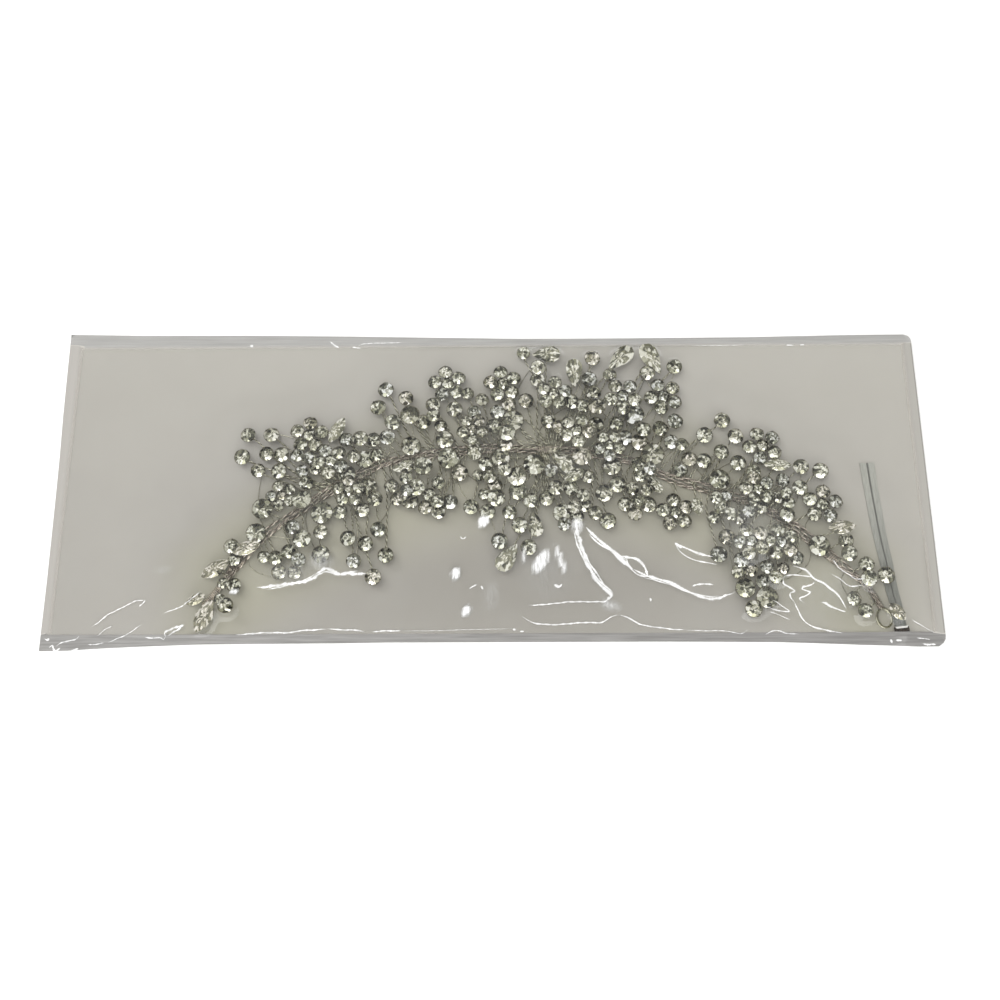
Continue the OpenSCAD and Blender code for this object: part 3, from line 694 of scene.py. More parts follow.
PAINTED_SHADED_TONES, PAINTED_LIT_TONES = (0.0, 0.04, 0.12, 0.30), (0.75, 1.0, 1.0)
LONG_PAINTED_TONES, LONG_SHARES = (0.08, 0.25, 0.40, 0.55, 0.75, 1.0), (0.08, 0.19, 0.27, 0.24, 0.12, 0.10)
TINTS, TINT_SHARES, ROSY_TINT, PALE_TINT = (0.0, 0.15, 0.45, 0.9), (0.46, 0.26, 0.12, 0.16), 0.48, 0.15
FINENESS_LONG, FINENESS_LARGE, FINENESS_SMALL = (2.2, 2.0), (1.3, 0.45), (1.0, 0.8)
VINE_MIDDLE, ROSY_BEYOND = 0.02, 0.12

def set_stones(name, template, settings, stands_for=()):
    """One piece of cut stones. With painted light, a round one is mostly bright towards the front and mostly
    dark behind.
    """
    points, faces, owners = copies(template, settings, GLASS_SHARE)
    below = np.tile(template.down < -0.15, len(settings))
    piece = mesh_piece(name, points, faces, [cut_glass.material, foil.material], below.astype(int))
    feet, widths = np.array([s.foot for s in settings]), np.array([s.half[1] for s in settings])
    nearer = np.array([points[list(f), 1].mean() for f in faces]) - feet[owners, 1]
    # Painted light and shade: facets towards the front are mostly bright, those behind mostly dark.
    painted_lit = chance.uniform(0, 1, len(faces)) < 0.36 - 0.34 * nearer / widths[owners]
    painted_tones = np.where(painted_lit, chance.choice(PAINTED_LIT_TONES, len(faces)), chance.choice(PAINTED_SHADED_TONES, len(faces)))
    if template is not ROUND:
        painted_tones = chance.choice(LONG_PAINTED_TONES, size=len(faces), p=LONG_SHARES)
    keep_values(piece, "painted_tone", "FACE", painted_tones)
    fineness = FINENESS_LARGE if len(settings) == 1 else FINENESS_SMALL
    if template is not ROUND:
        fineness = FINENESS_LONG
    shifts = chance.uniform(0, 90, (len(settings), 1, 2))
    polar = np.array([template.polar] * len(settings)) * fineness + shifts
    piece.data.uv_layers.new(name="cut").data.foreach_set("uv", polar.ravel())
    tint = chance.choice(TINTS, len(settings), p=TINT_SHARES)
    if template is not ROUND:
        tint = np.where(np.abs(feet[:, 0] - VINE_MIDDLE) > ROSY_BEYOND, ROSY_TINT, PALE_TINT)
    keep_values(piece, "tint", "FACE", tint[owners])
    return settle(piece, stands_for)

all_settings = []
for name, places in stones.items():
    template = ROUND
    if name.startswith("navette"):
        template = NAVETTE
    elif name.startswith("drop"):
        template = DROP
    set_stones("cut_" + name, template, places, [name])
    all_settings += places

# %% [markdown]
# ## The finest stones
# Between the larger stones stand many tiny ones that the CAD source leaves out. Their places are charted
# from the photograph, on a level 5 mm over the card. Each goes in the lowest layer where it is clear of
# the stones round it, and is moved a little along the line of sight to the spot where it really stands.

# %% The finest stones
FINE = [
    (-121.4, -54.8, 4.8), (-120.5, -47.5, 4.6), (-118.8, -57.6, 6.2), (-116, -36.7, 5.2), (-103, -35.5, 5),
    (-90, 12.6, 5.6), (-88.6, -42.6, 5.6), (-87.5, 5.2, 5.4), (-84.2, 11.5, 5.6), (-81.5, 6, 5),
    (-64, 12, 5.6), (-53, 12.6, 5.4), (-43.2, -8.6, 5.4), (-39, -4.4, 5.4), (-39, 1.6, 5.4),
    (-28.4, -6.6, 5.6), (-24.2, -0.8, 5.6), (-23.4, 26.6, 5.4), (-11, 43, 5.2), (-6, 2.6, 5),
    (-4.2, 39.6, 5.6), (-3, -6.4, 5), (-0.6, 2, 5.4), (6.4, 5.6, 5.6), (33.6, -20.8, 5.4), (38, -12.6, 5.4),
    (39.4, -17.6, 5.6), (42.6, -7.2, 5.4), (65, -4, 5.6), (67.4, -9.4, 5.4), (69, 2, 5.4), (71.6, -4.8, 5),
    (73.6, 5.6, 5.2), (88.8, 17, 5.4), (102, -18, 5.4), (103.4, -8.4, 5), (108, -8, 5), (109.6, -16.2, 5.4),
    (117, -42.4, 5.6), (131.4, -41.6, 5), (131.6, -8.6, 5.2), (135.6, -6.4, 5), (136.2, -11.2, 5.4)]
EYE = np.array((8.0, -134.0, 458.0))
CHART_LEVEL, FIRST_LAYER, LAYER_STEP, FOOT_UP, MIDDLE_UP = 5.0, 2.5, 3.6, 1.1, 1.5
FINE_HEIGHT, SAME_LAYER, FREE_ROOM = 0.44, 2.6, 9.0

def real_place(x, y, level):
    """The spot at a height over the card that looks the same to the camera as the charted one."""
    share = (level - CHART_LEVEL) / (EYE[2] - CHART_LEVEL)
    return np.array((x, y)) + share * (EYE[:2] - (x, y))

class FineStone(Stone):
    """A fine stone of a charted place and width, on the lowest layer where it is clear of all others."""
    def __init__(self, x, y, width):
        self.up = np.array((chance.uniform(-0.15, 0.15), chance.uniform(-0.2, 0.1), 1.0))
        self.up /= np.linalg.norm(self.up)
        self.along = np.cross((0.0, 1.0, 0.0), self.up)
        self.along /= np.linalg.norm(self.along)
        self.across = np.cross(self.up, self.along)
        self.half = np.array((width, width)) / 2 * MM
        self.height = FINE_HEIGHT * width * MM
        best = (-1e9, None)
        for layer in range(3):
            level = FIRST_LAYER + LAYER_STEP * layer
            spot = real_place(x, y, level + MIDDLE_UP)
            room = min(
                [np.hypot(*(s.foot[:2] / MM - spot)) - s.half[0] / MM - width / 2 for s in all_settings
                 if abs(s.foot[2] / MM - level - FOOT_UP) < SAME_LAYER] + [FREE_ROOM])
            if room > best[0] + (0.0 if layer == 0 else 0.4):
                best = (room, np.array((*spot, level + FOOT_UP)) * MM)
            if room > -0.1:
                break
        self.room, self.foot = best

fine_stones = []
for spot in FINE:
    fine_stones.append(FineStone(*spot))
    all_settings.append(fine_stones[-1])
set_stones("fine_stones", ROUND, fine_stones)
print("tightest fine stone", round(min(s.room for s in fine_stones), 2), "mm")

# %% [markdown]
# Each round stone gets its cup, also the finest ones. A boat's or a pear's setting is hidden below it, so
# it gets none. The cups are three pieces, for the left, the middle and the right part of the vine, so that
# no piece grows too large.

# %% Cups for the round stones
CUP_PARTS = (("left", -1.0, -0.042), ("middle", -0.042, 0.06), ("right", 0.06, 1.0))
for part, low, high in CUP_PARTS:
    inside_part = [s for s in all_settings if low <= s.foot[0] < high and s.is_round()]
    points, faces, _ = copies(CUP, inside_part, CUP_SHARE)
    settle(mesh_piece("cups_" + part, points, faces, [cup_metal.material]))

# %% [markdown]
# ## The wires
# Two thin wires twisted round each other carry each stone, and several such pairs run together as the
# stem. A twist is two strands that circle one line half a turn apart. Each strand is one line of a curve
# with a round bevel, and the curve is turned into a mesh once all its lines are in place.

# %% The wire finish
def wire_finish(name, dark, light):
    """Plated wire whose colour follows each strand's painted lightness and shading, from dark to light."""
    finish = Finish(name, metallic=1.0)
    painted_shade = finish.sum("MULTIPLY", finish.values("painted_shade"), finish.cloud(420, 0.55, 1.1))
    finish.join(finish.between(painted_shade, dark, light), finish.skin.inputs["Base Color"])
    finish.join(finish.cloud(1600, 0.18, 0.42), finish.skin.inputs["Roughness"])
    return finish.material

rose_wire = wire_finish("rose_gold_wire", (0.11, 0.088, 0.066), (1.0, 0.91, 0.79))
pale_wire = wire_finish("pale_gold_wire", (0.11, 0.105, 0.060), (1.0, 0.98, 0.80))

# %% Twisting wire
def lengths_along(line):
    """How far along a line each of its points is."""
    return np.concatenate([[0], np.cumsum(np.linalg.norm(np.diff(line, axis=0), axis=1))])

def at_lengths(line, lengths, at):
    """The line's points at other lengths."""
    return np.stack([np.interp(at, lengths, line[:, i]) for i in range(3)], axis=1)

def twist(line, apart, pitch, steps=6):
    """Two strands round a line, in millimetres, each apart from the line by that distance."""
    lengths = lengths_along(line)
    count = max(4, int(lengths[-1] / pitch * steps))
    at = np.linspace(0, lengths[-1], count)
    path = at_lengths(line, lengths, at)
    side, run = sides_along(path)
    up = np.cross(side, run)
    turn = math.tau * at / pitch
    offset = apart * (np.cos(turn)[:, None] * side + np.sin(turn)[:, None] * up)
    return [path + offset, path - offset]

# Painted light and shade: in each twisted pair one strand is painted lit and the other shaded.
STRAND_PAINTED_SHADES, WIRE_CORNERS = (1.0, 0.12, 0.7, 0.3), 4

def wire_piece(name, lines, radius, material, stands_for=()):
    """One mesh of round wires that follow the lines, in millimetres. Each wire keeps its own painted
    lightness, so a twisted pair shows a lit and a shaded strand.
    """
    curve = bpy.data.curves.new(name, "CURVE")
    curve.dimensions, curve.use_fill_caps = "3D", True
    curve.bevel_depth, curve.bevel_resolution = radius * MM, 0
    for line in lines:
        spline = curve.splines.new("POLY")
        spline.points.add(len(line) - 1)
        spline.points.foreach_set("co", np.hstack([line * MM, np.ones((len(line), 1))]).ravel())
    made = bpy.data.objects.new(name, curve)
    scene.collection.objects.link(made)
    only(made)
    bpy.ops.object.convert(target="MESH")
    made = bpy.context.object
    made.data.materials.clear()
    made.data.materials.append(material)
    strand_painted_shades = [STRAND_PAINTED_SHADES[k % len(STRAND_PAINTED_SHADES)] for k in range(len(lines))]
    at_caps = [painted_shade for painted_shade in reversed(strand_painted_shades) for _ in range(2 * WIRE_CORNERS)]
    along = [painted_shade for painted_shade, line in zip(strand_painted_shades, lines) for _ in range(WIRE_CORNERS * len(line))]
    keep_values(made, "painted_shade", "POINT", at_caps + along)
    return settle(made, stands_for)

# %% The stem
STEM = [
    (-128, -58), (-122, -50), (-115, -39), (-107, -30), (-98, -22), (-89, -15), (-80, -8), (-70, -2),
    (-60, 3), (-50, 8), (-38, 11), (-25, 13.5), (-10, 14.5), (5, 15), (20, 15), (35, 14), (48, 12.5),
    (60, 10), (72, 6), (82, 1.5), (92, -2), (102, -5.5), (112, -9), (122, -12.5), (131, -17), (140, -24),
    (149, -33), (157, -40.5), (165, -47), (170, -53), (173.5, -60)]
WIRE_Z, LINE_STEP, CARD_TOP = 2.2, 1.5, 1.1
STEM_APART, STEM_PITCH, STEM_WIRE = 0.30, 4.8, 0.31
LANES = (
    (-1.7, 0.7, 0.3, 0.0), (-0.8, 0.9, 1.9, 0.45), (0.2, 0.8, 3.1, -0.2),
    (1.0, 0.8, 4.4, 0.3), (1.8, 0.6, 5.6, 0.0))
stem_line = smooth_line([(*real_place(x, y, WIRE_Z - CARD_TOP), WIRE_Z) for x, y in STEM], LINE_STEP)
stem_side, _ = sides_along(stem_line)
stem_at = lengths_along(stem_line)
stem_wires = []
for lane, wave, start, height in LANES:
    ends = np.clip(np.minimum(stem_at, stem_at[-1] - stem_at) / 25, 0.35, 1)
    weave_out = (lane + wave * np.sin(stem_at / 9.0 + start)) * ends
    weave_up = height + 0.2 * np.sin(stem_at / 5 + start)
    strand = stem_line + weave_out[:, None] * stem_side + np.array((0, 0, 1.0)) * weave_up[:, None]
    stem_wires += twist(strand, STEM_APART, STEM_PITCH)
wire_piece("stem_wires", stem_wires, STEM_WIRE, rose_wire, ["wire_frame"])

# %% [markdown]
# A stalk leaves the stem somewhat nearer the vine's middle than its stone, runs out low over the card and
# rises to the stone's foot at its end. A flower hangs on one stalk, and five short wires join its petals
# to the middle stone.

# %% The stalks
HUB_X, NEAR_HUB = 27.5, 16
hub = int(np.argmin(np.abs(stem_line[:, 0] - HUB_X)))

def nearest_on_stem(foot):
    """The number of the stem's point that is nearest to a foot."""
    return int(np.argmin(np.hypot(*(stem_line[:, :2] - foot[:2]).T)))

def stalk_line(foot, number):
    """A stalk's line from the stem to a stone's foot. The number gives it a bow of its own."""
    near = nearest_on_stem(foot)
    away = float(np.hypot(*(stem_line[near, :2] - foot[:2])))
    steps = int(0.45 * away / LINE_STEP)
    root = int(np.clip(near + (steps if near < hub else -steps), 0, len(stem_line) - 1))
    if abs(near - hub) < NEAR_HUB:
        root = hub + int((near - hub) * 0.15)
    start = stem_line[root] + (0, 0, 0.3)
    low = WIRE_Z + 0.2 + 0.6 * ((number * 0.37) % 1)
    reach = foot - start
    bow = np.array((-reach[1], reach[0], 0)) * (0.12 * math.sin(2.3 * number))
    ends = max(2.5, 0.35 * (foot[2] - low) + 2.0)
    level_reach = np.hypot(*reach[:2])
    out = reach[:2] / max(1e-6, level_reach)
    before = np.array((*(foot[:2] - out * min(ends, 0.5 * level_reach)), low + 0.25 * (foot[2] - low)))
    return smooth_line([start, start + 0.35 * (before - start) + bow, before, foot], LINE_STEP)

FLOWER_REACH, PETALS = 7.2, 5
SPOKE_APART, SPOKE_PITCH, SPOKE_WIRE = 0.17, 2.4, 0.18
STALK_APART, STALK_PITCH, STALK_WIRE = 0.22, 3.2, 0.22
flower_middles, plain_feet, spokes = [], [], []
for name, places in stones.items():
    feet = np.array([s.foot for s in places]) / MM
    if name.startswith("flowers"):
        gaps = np.linalg.norm(feet[:, None] - feet[None], axis=2)
        middles = [i for i in range(len(feet)) if (gaps[i] < FLOWER_REACH).sum() > PETALS]
        for i in middles:
            flower_middles.append(feet[i])
            for j in np.argsort(gaps[i])[1:PETALS + 1]:
                half_way = (feet[i] + feet[j]) / 2 + (0, 0, -0.3)
                spoke = np.array([feet[i] + (0, 0, -0.1), half_way, feet[j] + (0, 0, 0.1)])
                spokes += twist(spoke, SPOKE_APART, SPOKE_PITCH)
    else:
        plain_feet += list(feet)
plain_feet += [s.foot / MM for s in fine_stones]
print(len(flower_middles), "flowers,", len(plain_feet), "stones on stalks of their own")
stalks = {part: [] for part, _, _ in CUP_PARTS}
for number, foot in enumerate(flower_middles + plain_feet):
    part = next(p for p, low, high in CUP_PARTS if low <= foot[0] * MM < high)
    stalks[part] += twist(stalk_line(np.array(foot), number), STALK_APART, STALK_PITCH)
for part, lines in stalks.items():
    wire_piece("stalks_" + part, lines, STALK_WIRE, pale_wire)
wire_piece("flower_spokes", spokes, SPOKE_WIRE, pale_wire)

# %% [markdown]
# The binding wire runs on from stone to stone. Between the stalks its bare single strands cross in all
# directions and fill the gaps near the stem. Each one starts on the stem some way off and ends under a
# stone.

# %% The loose strands
LOOSE_STEP, LOOSE_WIRE = 1.8, 0.15
loose = []
for number, foot in enumerate(flower_middles + plain_feet):
    near = nearest_on_stem(foot)
    root = int(np.clip(near + round(9 * math.sin(1.9 * number)), 0, len(stem_line) - 1))
    start = stem_line[root] + (0, 0, -0.4)
    beside = 2.0 * np.array((math.cos(number), math.sin(number)))
    end = np.array((*(foot[:2] + beside), 0.4 * foot[2] + 0.8))
    reach = end - start
    bow = np.array((reach[1], -reach[0], 0)) * (0.22 * math.sin(1.3 * number + 0.6))
    points = [start, start + 0.3 * reach + bow, start + 0.7 * reach + 0.8 * bow, end]
    loose.append(smooth_line(points, LOOSE_STEP))
wire_piece("loose_strands", loose[::2], LOOSE_WIRE, pale_wire)

# %% [markdown]
# The stem ends in an oval loop, to which a ribbon or a pin is tied. Close to both ends, and where the side
# wires leave the stem, a finer wire is wound round the bundle in a tight coil.

# %% The loop and the coils
LOOP_X, LOOP_Y, LOOP_Z, LOOP_POINTS = 175.5, -63.9, 2.5, 44
LOOP_HALF, LOOP_REACH, LOOP_TURN, LOOP_WIRE, COIL_WIRE = 3.2, 4.3, math.radians(8), 0.42, 0.2
loop_angles = np.linspace(-0.15, math.tau + 0.15, LOOP_POINTS) + math.pi / 2
oval = np.stack([LOOP_HALF * np.cos(loop_angles), LOOP_REACH * np.sin(loop_angles)], axis=1)
c, s = math.cos(LOOP_TURN), math.sin(LOOP_TURN)
loop_rise = LOOP_Z + 0.25 * np.linspace(-1, 1, LOOP_POINTS)[:, None]
loop_line = np.hstack([oval @ np.array([[c, s], [-s, c]]) + (LOOP_X, LOOP_Y), loop_rise])
loop_wires = [loop_line, loop_line + (0.35, 0.1, 0.35)]
wire_piece("end_loop_wire", loop_wires, LOOP_WIRE, pale_wire)

def coil(first, last, radius, pitch):
    """A wire wound round the stem between two of its points, flatter than it is wide."""
    part = stem_line[first:last]
    lengths = lengths_along(part)
    at = np.linspace(0, lengths[-1], int(lengths[-1] / pitch * 10))
    path = at_lengths(part, lengths, at)
    side, run = sides_along(path)
    turn = (math.tau * at / pitch)[:, None]
    upright = 0.55 * radius * np.sin(turn) * np.cross(side, run)
    return path + radius * np.cos(turn) * side + upright + (0, 0, 0.3)

last = len(stem_line)
COILS = (
    (0, 8, 1.5, 0.8), (14, 19, 1.9, 0.9), (hub - 4, hub + 1, 2.0, 0.9), (last - 8, last, 1.4, 0.8),
    (last - 22, last - 18, 1.8, 0.9), (hub + 30, hub + 34, 2.0, 0.9))
wire_piece("stem_coils", [coil(*c) for c in COILS], COIL_WIRE, rose_wire)

# %% [markdown]
# ## The card
# The card's CAD solid is already the right shape, so it stays and gets a board's finish: a warm grey with
# faint clouds, a few fibres, and a fine tooth in the surface. Painted light makes it lighter at its back
# edge and at its right end. Two patches of painted shade lie on it: a painted shadow round the middle of
# its front edge, and a warmer painted shade under the vine, along a shallow arch, where the stones and
# wires keep light off the card and throw it back yellowish.

# %% The card
ARCH_TOP, ARCH_BEND, ARCH_HALF = 0.012, 3.0, 0.13
board = Finish("grey_board", roughness=0.85)
fibres = board.cloud(900, 0, 1, detail=6, stretch=(1, 3.5, 1))
clouds = board.cloud(14, 0, 1, detail=2)
spot, spot_x, spot_y = board.place()
# Painted light: the card is darker towards its left end and lighter at its back edge.
right_ground = board.between(clouds, (0.372, 0.358, 0.328), (0.400, 0.385, 0.352))
shaded_left_ground = board.between(clouds, (0.336, 0.323, 0.299), (0.362, 0.349, 0.322))
ground = board.between(board.spread(spot_x, 0.19, -0.05), right_ground, shaded_left_ground)
painted_back_light = board.spread(spot_y, 0.0, 0.075, 0.0, 0.45)
ground = board.between(painted_back_light, ground, (0.440, 0.428, 0.388))
# A painted shadow round the middle of the front edge.
front_shadow_place = board.add("ShaderNodeMapping")
front_shadow_place.inputs["Location"].default_value = (-0.1, 0.75, 0)
front_shadow_place.inputs["Scale"].default_value = (5.0, 16, 0)
board.join(spot, front_shadow_place.inputs["Vector"])
painted_front_shadow = board.add("ShaderNodeTexGradient", gradient_type="SPHERICAL")
board.join(front_shadow_place.outputs[0], painted_front_shadow.inputs["Vector"])
toned = board.between(painted_front_shadow.outputs["Fac"], ground, (0.258, 0.246, 0.221))
# Painted shade under the vine, warm and yellowish, along a shallow arch.
from_middle = board.sum("SUBTRACT", spot_x, VINE_MIDDLE, limits=False)
squared = board.sum("MULTIPLY", from_middle, from_middle, limits=False)
arch = board.sum("SUBTRACT", ARCH_TOP, board.sum("MULTIPLY", squared, ARCH_BEND, limits=False), limits=False)
off_arch = board.sum("ABSOLUTE", board.sum("SUBTRACT", spot_y, arch, limits=False), 0, limits=False)
past_ends = board.sum("ABSOLUTE", from_middle, 0, limits=False)
past_ends = board.sum("SUBTRACT", past_ends, ARCH_HALF, limits=False)
off_vine = board.sum("MAXIMUM", off_arch, past_ends, limits=False)
painted_vine_shade = board.spread(off_vine, 0.05, 0.012, interpolation_type="SMOOTHSTEP")
toned = board.between(painted_vine_shade, toned, (0.325, 0.314, 0.252))
speck = board.sum("MULTIPLY", fibres, 0.12)
board.join(board.between(speck, toned, (0.33, 0.31, 0.27)), board.skin.inputs["Base Color"])
board.bump(fibres, 0.12, 0.00008)
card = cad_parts["card"]
card.data.materials.clear()
card.data.materials.append(board.material)

# %% [markdown]
# ## The sleeve
# The sleeve is a bag of thin clear film, sealed at the front, the back and the left end. Over the vine it
# is held up by the stones, and it falls to the card beside them. Before its shape comes the chart of its
# creases, made from the photograph. Each row gives a crease's width and then the places that it runs
# through, in millimetres, on the level of the other charts. Two tables give the CAD film's height: how it
# falls off across the card and along it.

# %% The chart of creases
CREASES = [
    (1.5, (-106, -49), (-94, -47.5), (-84, -46), (-78, -42.5), (-76, -41)),
    (1.7, (-80, -43), (-75.5, -40), (-70, -42), (-64, -42), (-57, -42.5)),
    (2.0, (39, -17), (39.5, -22), (41, -28), (43, -34), (46, -41), (50, -47), (54.5, -52), (53, -54.5),
     (50, -56)),
    (0.7, (52.5, -55), (51, -55.5), (36.5, -55.5), (31.5, -56), (21.5, -57), (17, -57)),
    (0.8, (41, -27), (44, -35), (48, -41), (52, -47.5)),
    (2.0, (44, -21), (50, -27), (56, -32), (60, -36), (65, -40)),
    (1.3, (60, -34), (62.4, -34.5), (67.3, -35.9), (70.8, -39.6), (72, -43.7)),
    (0.9, (62.4, -35.2), (63, -38.2), (67.1, -42.3), (72, -43.7)),
    (0.8, (72.5, -53.8), (72.5, -55.6)),
    (1.4, (65, -40), (71, -43), (75, -44), (82, -47), (88, -51), (95, -54), (101, -55), (110, -52)),
    (1.2, (84.8, -28.6), (90.1, -31.4), (94.5, -33.7), (100.7, -35.6)),
    (0.6, (84.8, -28.6), (87.3, -32.8), (92.5, -36.5), (102.3, -39.3)),
    (1.3, (84.6, -28.2), (87.6, -30.8)),
    (0.8, (91, -49), (95, -48), (100.5, -48.5)),
    (0.7, (13.5, -62.5), (18, -65.5), (21.5, -66.5), (29, -67), (41.5, -66), (49.5, -66), (53.5, -63.5),
     (57.5, -62)),
    (0.7, (57.5, -62), (61.5, -63.5), (66, -66.5), (68.5, -67.5), (80.5, -69.5), (87, -70)),
    (0.35, (87, -70), (95.5, -70.5), (104, -70.5), (111, -72), (112.5, -71.5), (114.5, -70), (115.5, -70)),
    (0.5, (122, -72.5), (125.5, -70.5), (129, -70.5), (131, -71.5), (137, -72)),
    (0.65, (132, -45.5), (133.5, -44.5), (138, -44), (142.5, -44.5), (146.5, -45)),
    (0.8, (146.5, -47), (145, -48.5), (141, -49.5), (140.5, -50.5), (144, -52), (142, -53.5), (139, -55),
     (141, -57)),
    (0.8, (132, -45.5), (132, -48), (134.5, -49.5), (137, -51.5), (135, -52.5), (135, -54.5),
     (136.5, -56.5)),
    (0.8, (136.5, -56.5), (138, -60.5), (139, -63.5), (141.5, -66.5), (145, -68.5), (149, -69.5),
     (156.5, -71)),
    (0.6, (127, -56), (131, -58.5), (134, -61), (129, -60.5), (123, -59)),
    (0.95, (137, -40), (141, -41), (143.5, -42), (146.5, -45.5), (150.5, -47.5), (153, -50), (156, -53),
     (159.5, -59.5)),
    (1.0, (148.5, -56.5), (150.5, -57), (152.5, -58.5), (157, -60.5), (159, -61)),
    (0.6, (154.5, -43.5), (158, -46), (160.5, -48.5), (163, -49.5), (167, -49)),
    (0.6, (155.5, -37), (158, -41), (162, -44), (164.5, -46), (168, -46.5)),
    (0.35, (188, -64.5), (190, -66), (191.5, -67), (194, -69), (196.5, -70.5)),
    (1.0, (177, -73.5), (177, -75.3)),
    (1.0, (179, -74), (181.5, -74)),
    (0.4, (188.5, -72.5), (191.5, -73), (194, -73.5)),
    (0.8, (190.5, -75.2), (193.5, -75.6), (197.5, -75.6)),
    (1.1, (192.5, -75.6), (195, -75.9)),
    (0.5, (-146.8, -60.8), (-145, -60), (-140, -58), (-136.5, -55.5), (-131, -50.5)),
    (0.6, (-178, -66.5), (-175, -64.5), (-172, -61.5), (-168.5, -59.5), (-164, -57), (-160.5, -55),
     (-156, -54.5)),
    (0.6, (-156, -54.6), (-157, -56), (-158.5, -57.5)),
    (0.35, (-169, -66.5), (-172, -68), (-175, -71)),
    (0.5, (-156.5, -66), (-160, -69), (-163, -71), (-166.5, -72.5), (-169.5, -74)),
    (0.5, (-178.5, -74.5), (-174.5, -74.5), (-171.5, -74)),
    (0.6, (-183, -70.5), (-184.5, -72), (-187.5, -72.5), (-190, -73), (-192.5, -74.5)),
    (0.6, (-154, -72), (-150.5, -72.5), (-147, -72.5), (-145.5, -73.5), (-145, -72)),
    (1.0, (-145, -72), (-145.5, -70), (-143.5, -68.5), (-141, -67.5), (-138, -66.5), (-139.5, -68),
     (-144, -71.5)),
    (0.8, (-114, -71.5), (-107.5, -71), (-101, -70.5), (-90, -70.5), (-85.5, -69.5), (-77.5, -69),
     (-73, -68.5)),
    (0.7, (-73, -68.5), (-68.5, -69), (-59.5, -69.5), (-56.5, -70.5)),
    (0.7, (-53, -70.5), (-49, -70), (-40.5, -70)),
    (0.22, (-40.5, -70), (-26, -70), (-13, -69.5), (10, -69)),
    (1.1, (9.8, -69.3), (11.2, -69.5)),
    (0.9, (13, -70.3), (14.8, -70.6)),
    (1.0, (-198, -71.5), (-197, -72), (-196, -71.5)),
    (1.1, (-195.5, -75), (-194.3, -74.3), (-192.8, -76.5), (-190.5, -75.5)),
    (0.9, (-186, -76.6), (-184.5, -76.4), (-182.5, -76)),
    (0.5, (-14.5, -24.2), (-13, -25.4), (-11.5, -24.4)),
    (0.7, (-10, -48.8), (-6.5, -47)),
    (1.4, (-4.4, -47.6), (-3.6, -49.6)),
    (0.35, (125, -61), (129, -62.5), (134, -65)),
    (1.2, (29, -47), (31, -48), (32.6, -47)),
    (0.8, (-77.5, 71.4), (-75.6, 70), (-73.6, 69.1)),
    (1.2, (-116.6, 69.7), (-115, 69.6)),
    (0.8, (-67, 69.3), (-65, 69), (-63, 68.9)),
    (0.45, (-64, 69.8), (-61.5, 70.6), (-56.2, 70.9), (-50, 71), (-43.1, 71.2)),
    (0.22, (97, 69.6), (110, 69.6), (122, 69.8)),
    (0.7, (142.5, 69.4), (146, 69.4)),
    (0.7, (149, 69.4), (151, 69.5))]
CAD_FILM_LOW, CAD_FILM_RISE, FILM_FLAT = 0.5, 15.5, 1.3
ACROSS = ([0, 19, 45, 60, 69, 72, 76, 90], [1, 1, 0.86, 0.6, 0.42, 0.26, 0.01, 0])
ALONG = (
    [-203, -198, -185, -152, -138, -120, -80, -30, 20, 70, 120, 164, 188, 198, 203],
    [0.01, 0.3, 0.34, 0.55, 0.86, 0.96, 1, 0.98, 1, 0.98, 1, 0.96, 0.85, 0.42, 0.12])

def cad_film(x, y):
    """Height of the CAD film over a spot, in millimetres."""
    return CAD_FILM_LOW + CAD_FILM_RISE * np.interp(x, *ALONG) * np.interp(np.abs(y), *ACROSS)

def on_film(x, y):
    """The spot on the film that looks the same to the camera as the charted one."""
    spot = np.array((x, y), dtype=float)
    for _ in range(3):
        spot = real_place(x, y, float(cad_film(*spot)) - FILM_FLAT)
    return spot

crease_lines = []
for width, *points in CREASES:
    crease_lines.append((width, smooth_line([(*on_film(x, y), 0.0) for x, y in points], 1.0)))
crease_points = np.concatenate([line[:, :2] for _, line in crease_lines])
crease_widths = np.concatenate([np.full(len(line), w) for w, line in crease_lines])
print(len(crease_lines), "creases,", len(crease_points), "points")

# %% [markdown]
# The film's outline follows the photograph: its front and back edges bow in, its left end leans out
# towards the back, and its corners are rounded at the open end. Each table gives how far an edge moves, in
# millimetres, at places along it.

# %% The film's outline
FILM_X, FILM_Y = 202.6, 75.8
FRONT_BOW = ([-203, -150, -70, -45, 80, 130, 165, 203], [0, 0, 0.2, 0.5, 0.5, 0.2, -0.6, -0.5])
BACK_BOW = (
    [-203, -166, -118, -69, -21, 15, 60, 124, 173, 203],
    [-1, -0.15, 0.05, 0.8, 1.85, 2.6, 2.65, 2.4, 1.5, 1.35])
LEFT_LEAN = ([-45, -6, 14, 34, 54, 76], [0, 0.45, 0.8, 1.45, 1.8, 2.1])

def squeeze(x, y):
    """Moves spots of the plain oblong to the sleeve's real outline."""
    bow = 1.6 * np.clip(1 - (np.abs(x) / 190.0) ** 6, 0, 1) - 1.3 * np.clip((-x - 130) / 70, 0, 1)
    bow = (bow + np.interp(x, *FRONT_BOW)) * np.clip(-y / 76.0, 0, 1) ** 6
    bow = bow - np.interp(x, *BACK_BOW) * np.clip(y / 76.0, 0, 1) ** 12
    lean = np.interp(y, *LEFT_LEAN) * np.clip((-x - 170) / 33, 0, 1) ** 2
    corner = np.clip(np.abs(y) - 71.5, 0, 10)
    pull = np.where(x > 190, np.clip((x - 190) / 12.0, 0, 1), 0) * (corner / 4.3) ** 2 * 3.0
    return x - pull - lean, y + bow

# %% [markdown]
# The film is a height over each point of a close grid. A stone or a wire holds it up, and beside one it
# falls off evenly to the card, on which it lies flat along all four edges. Then each point moves to the
# middle of its neighbours a few times, as stretched film would, but never down into a stone. Low waves and
# the creases come last.

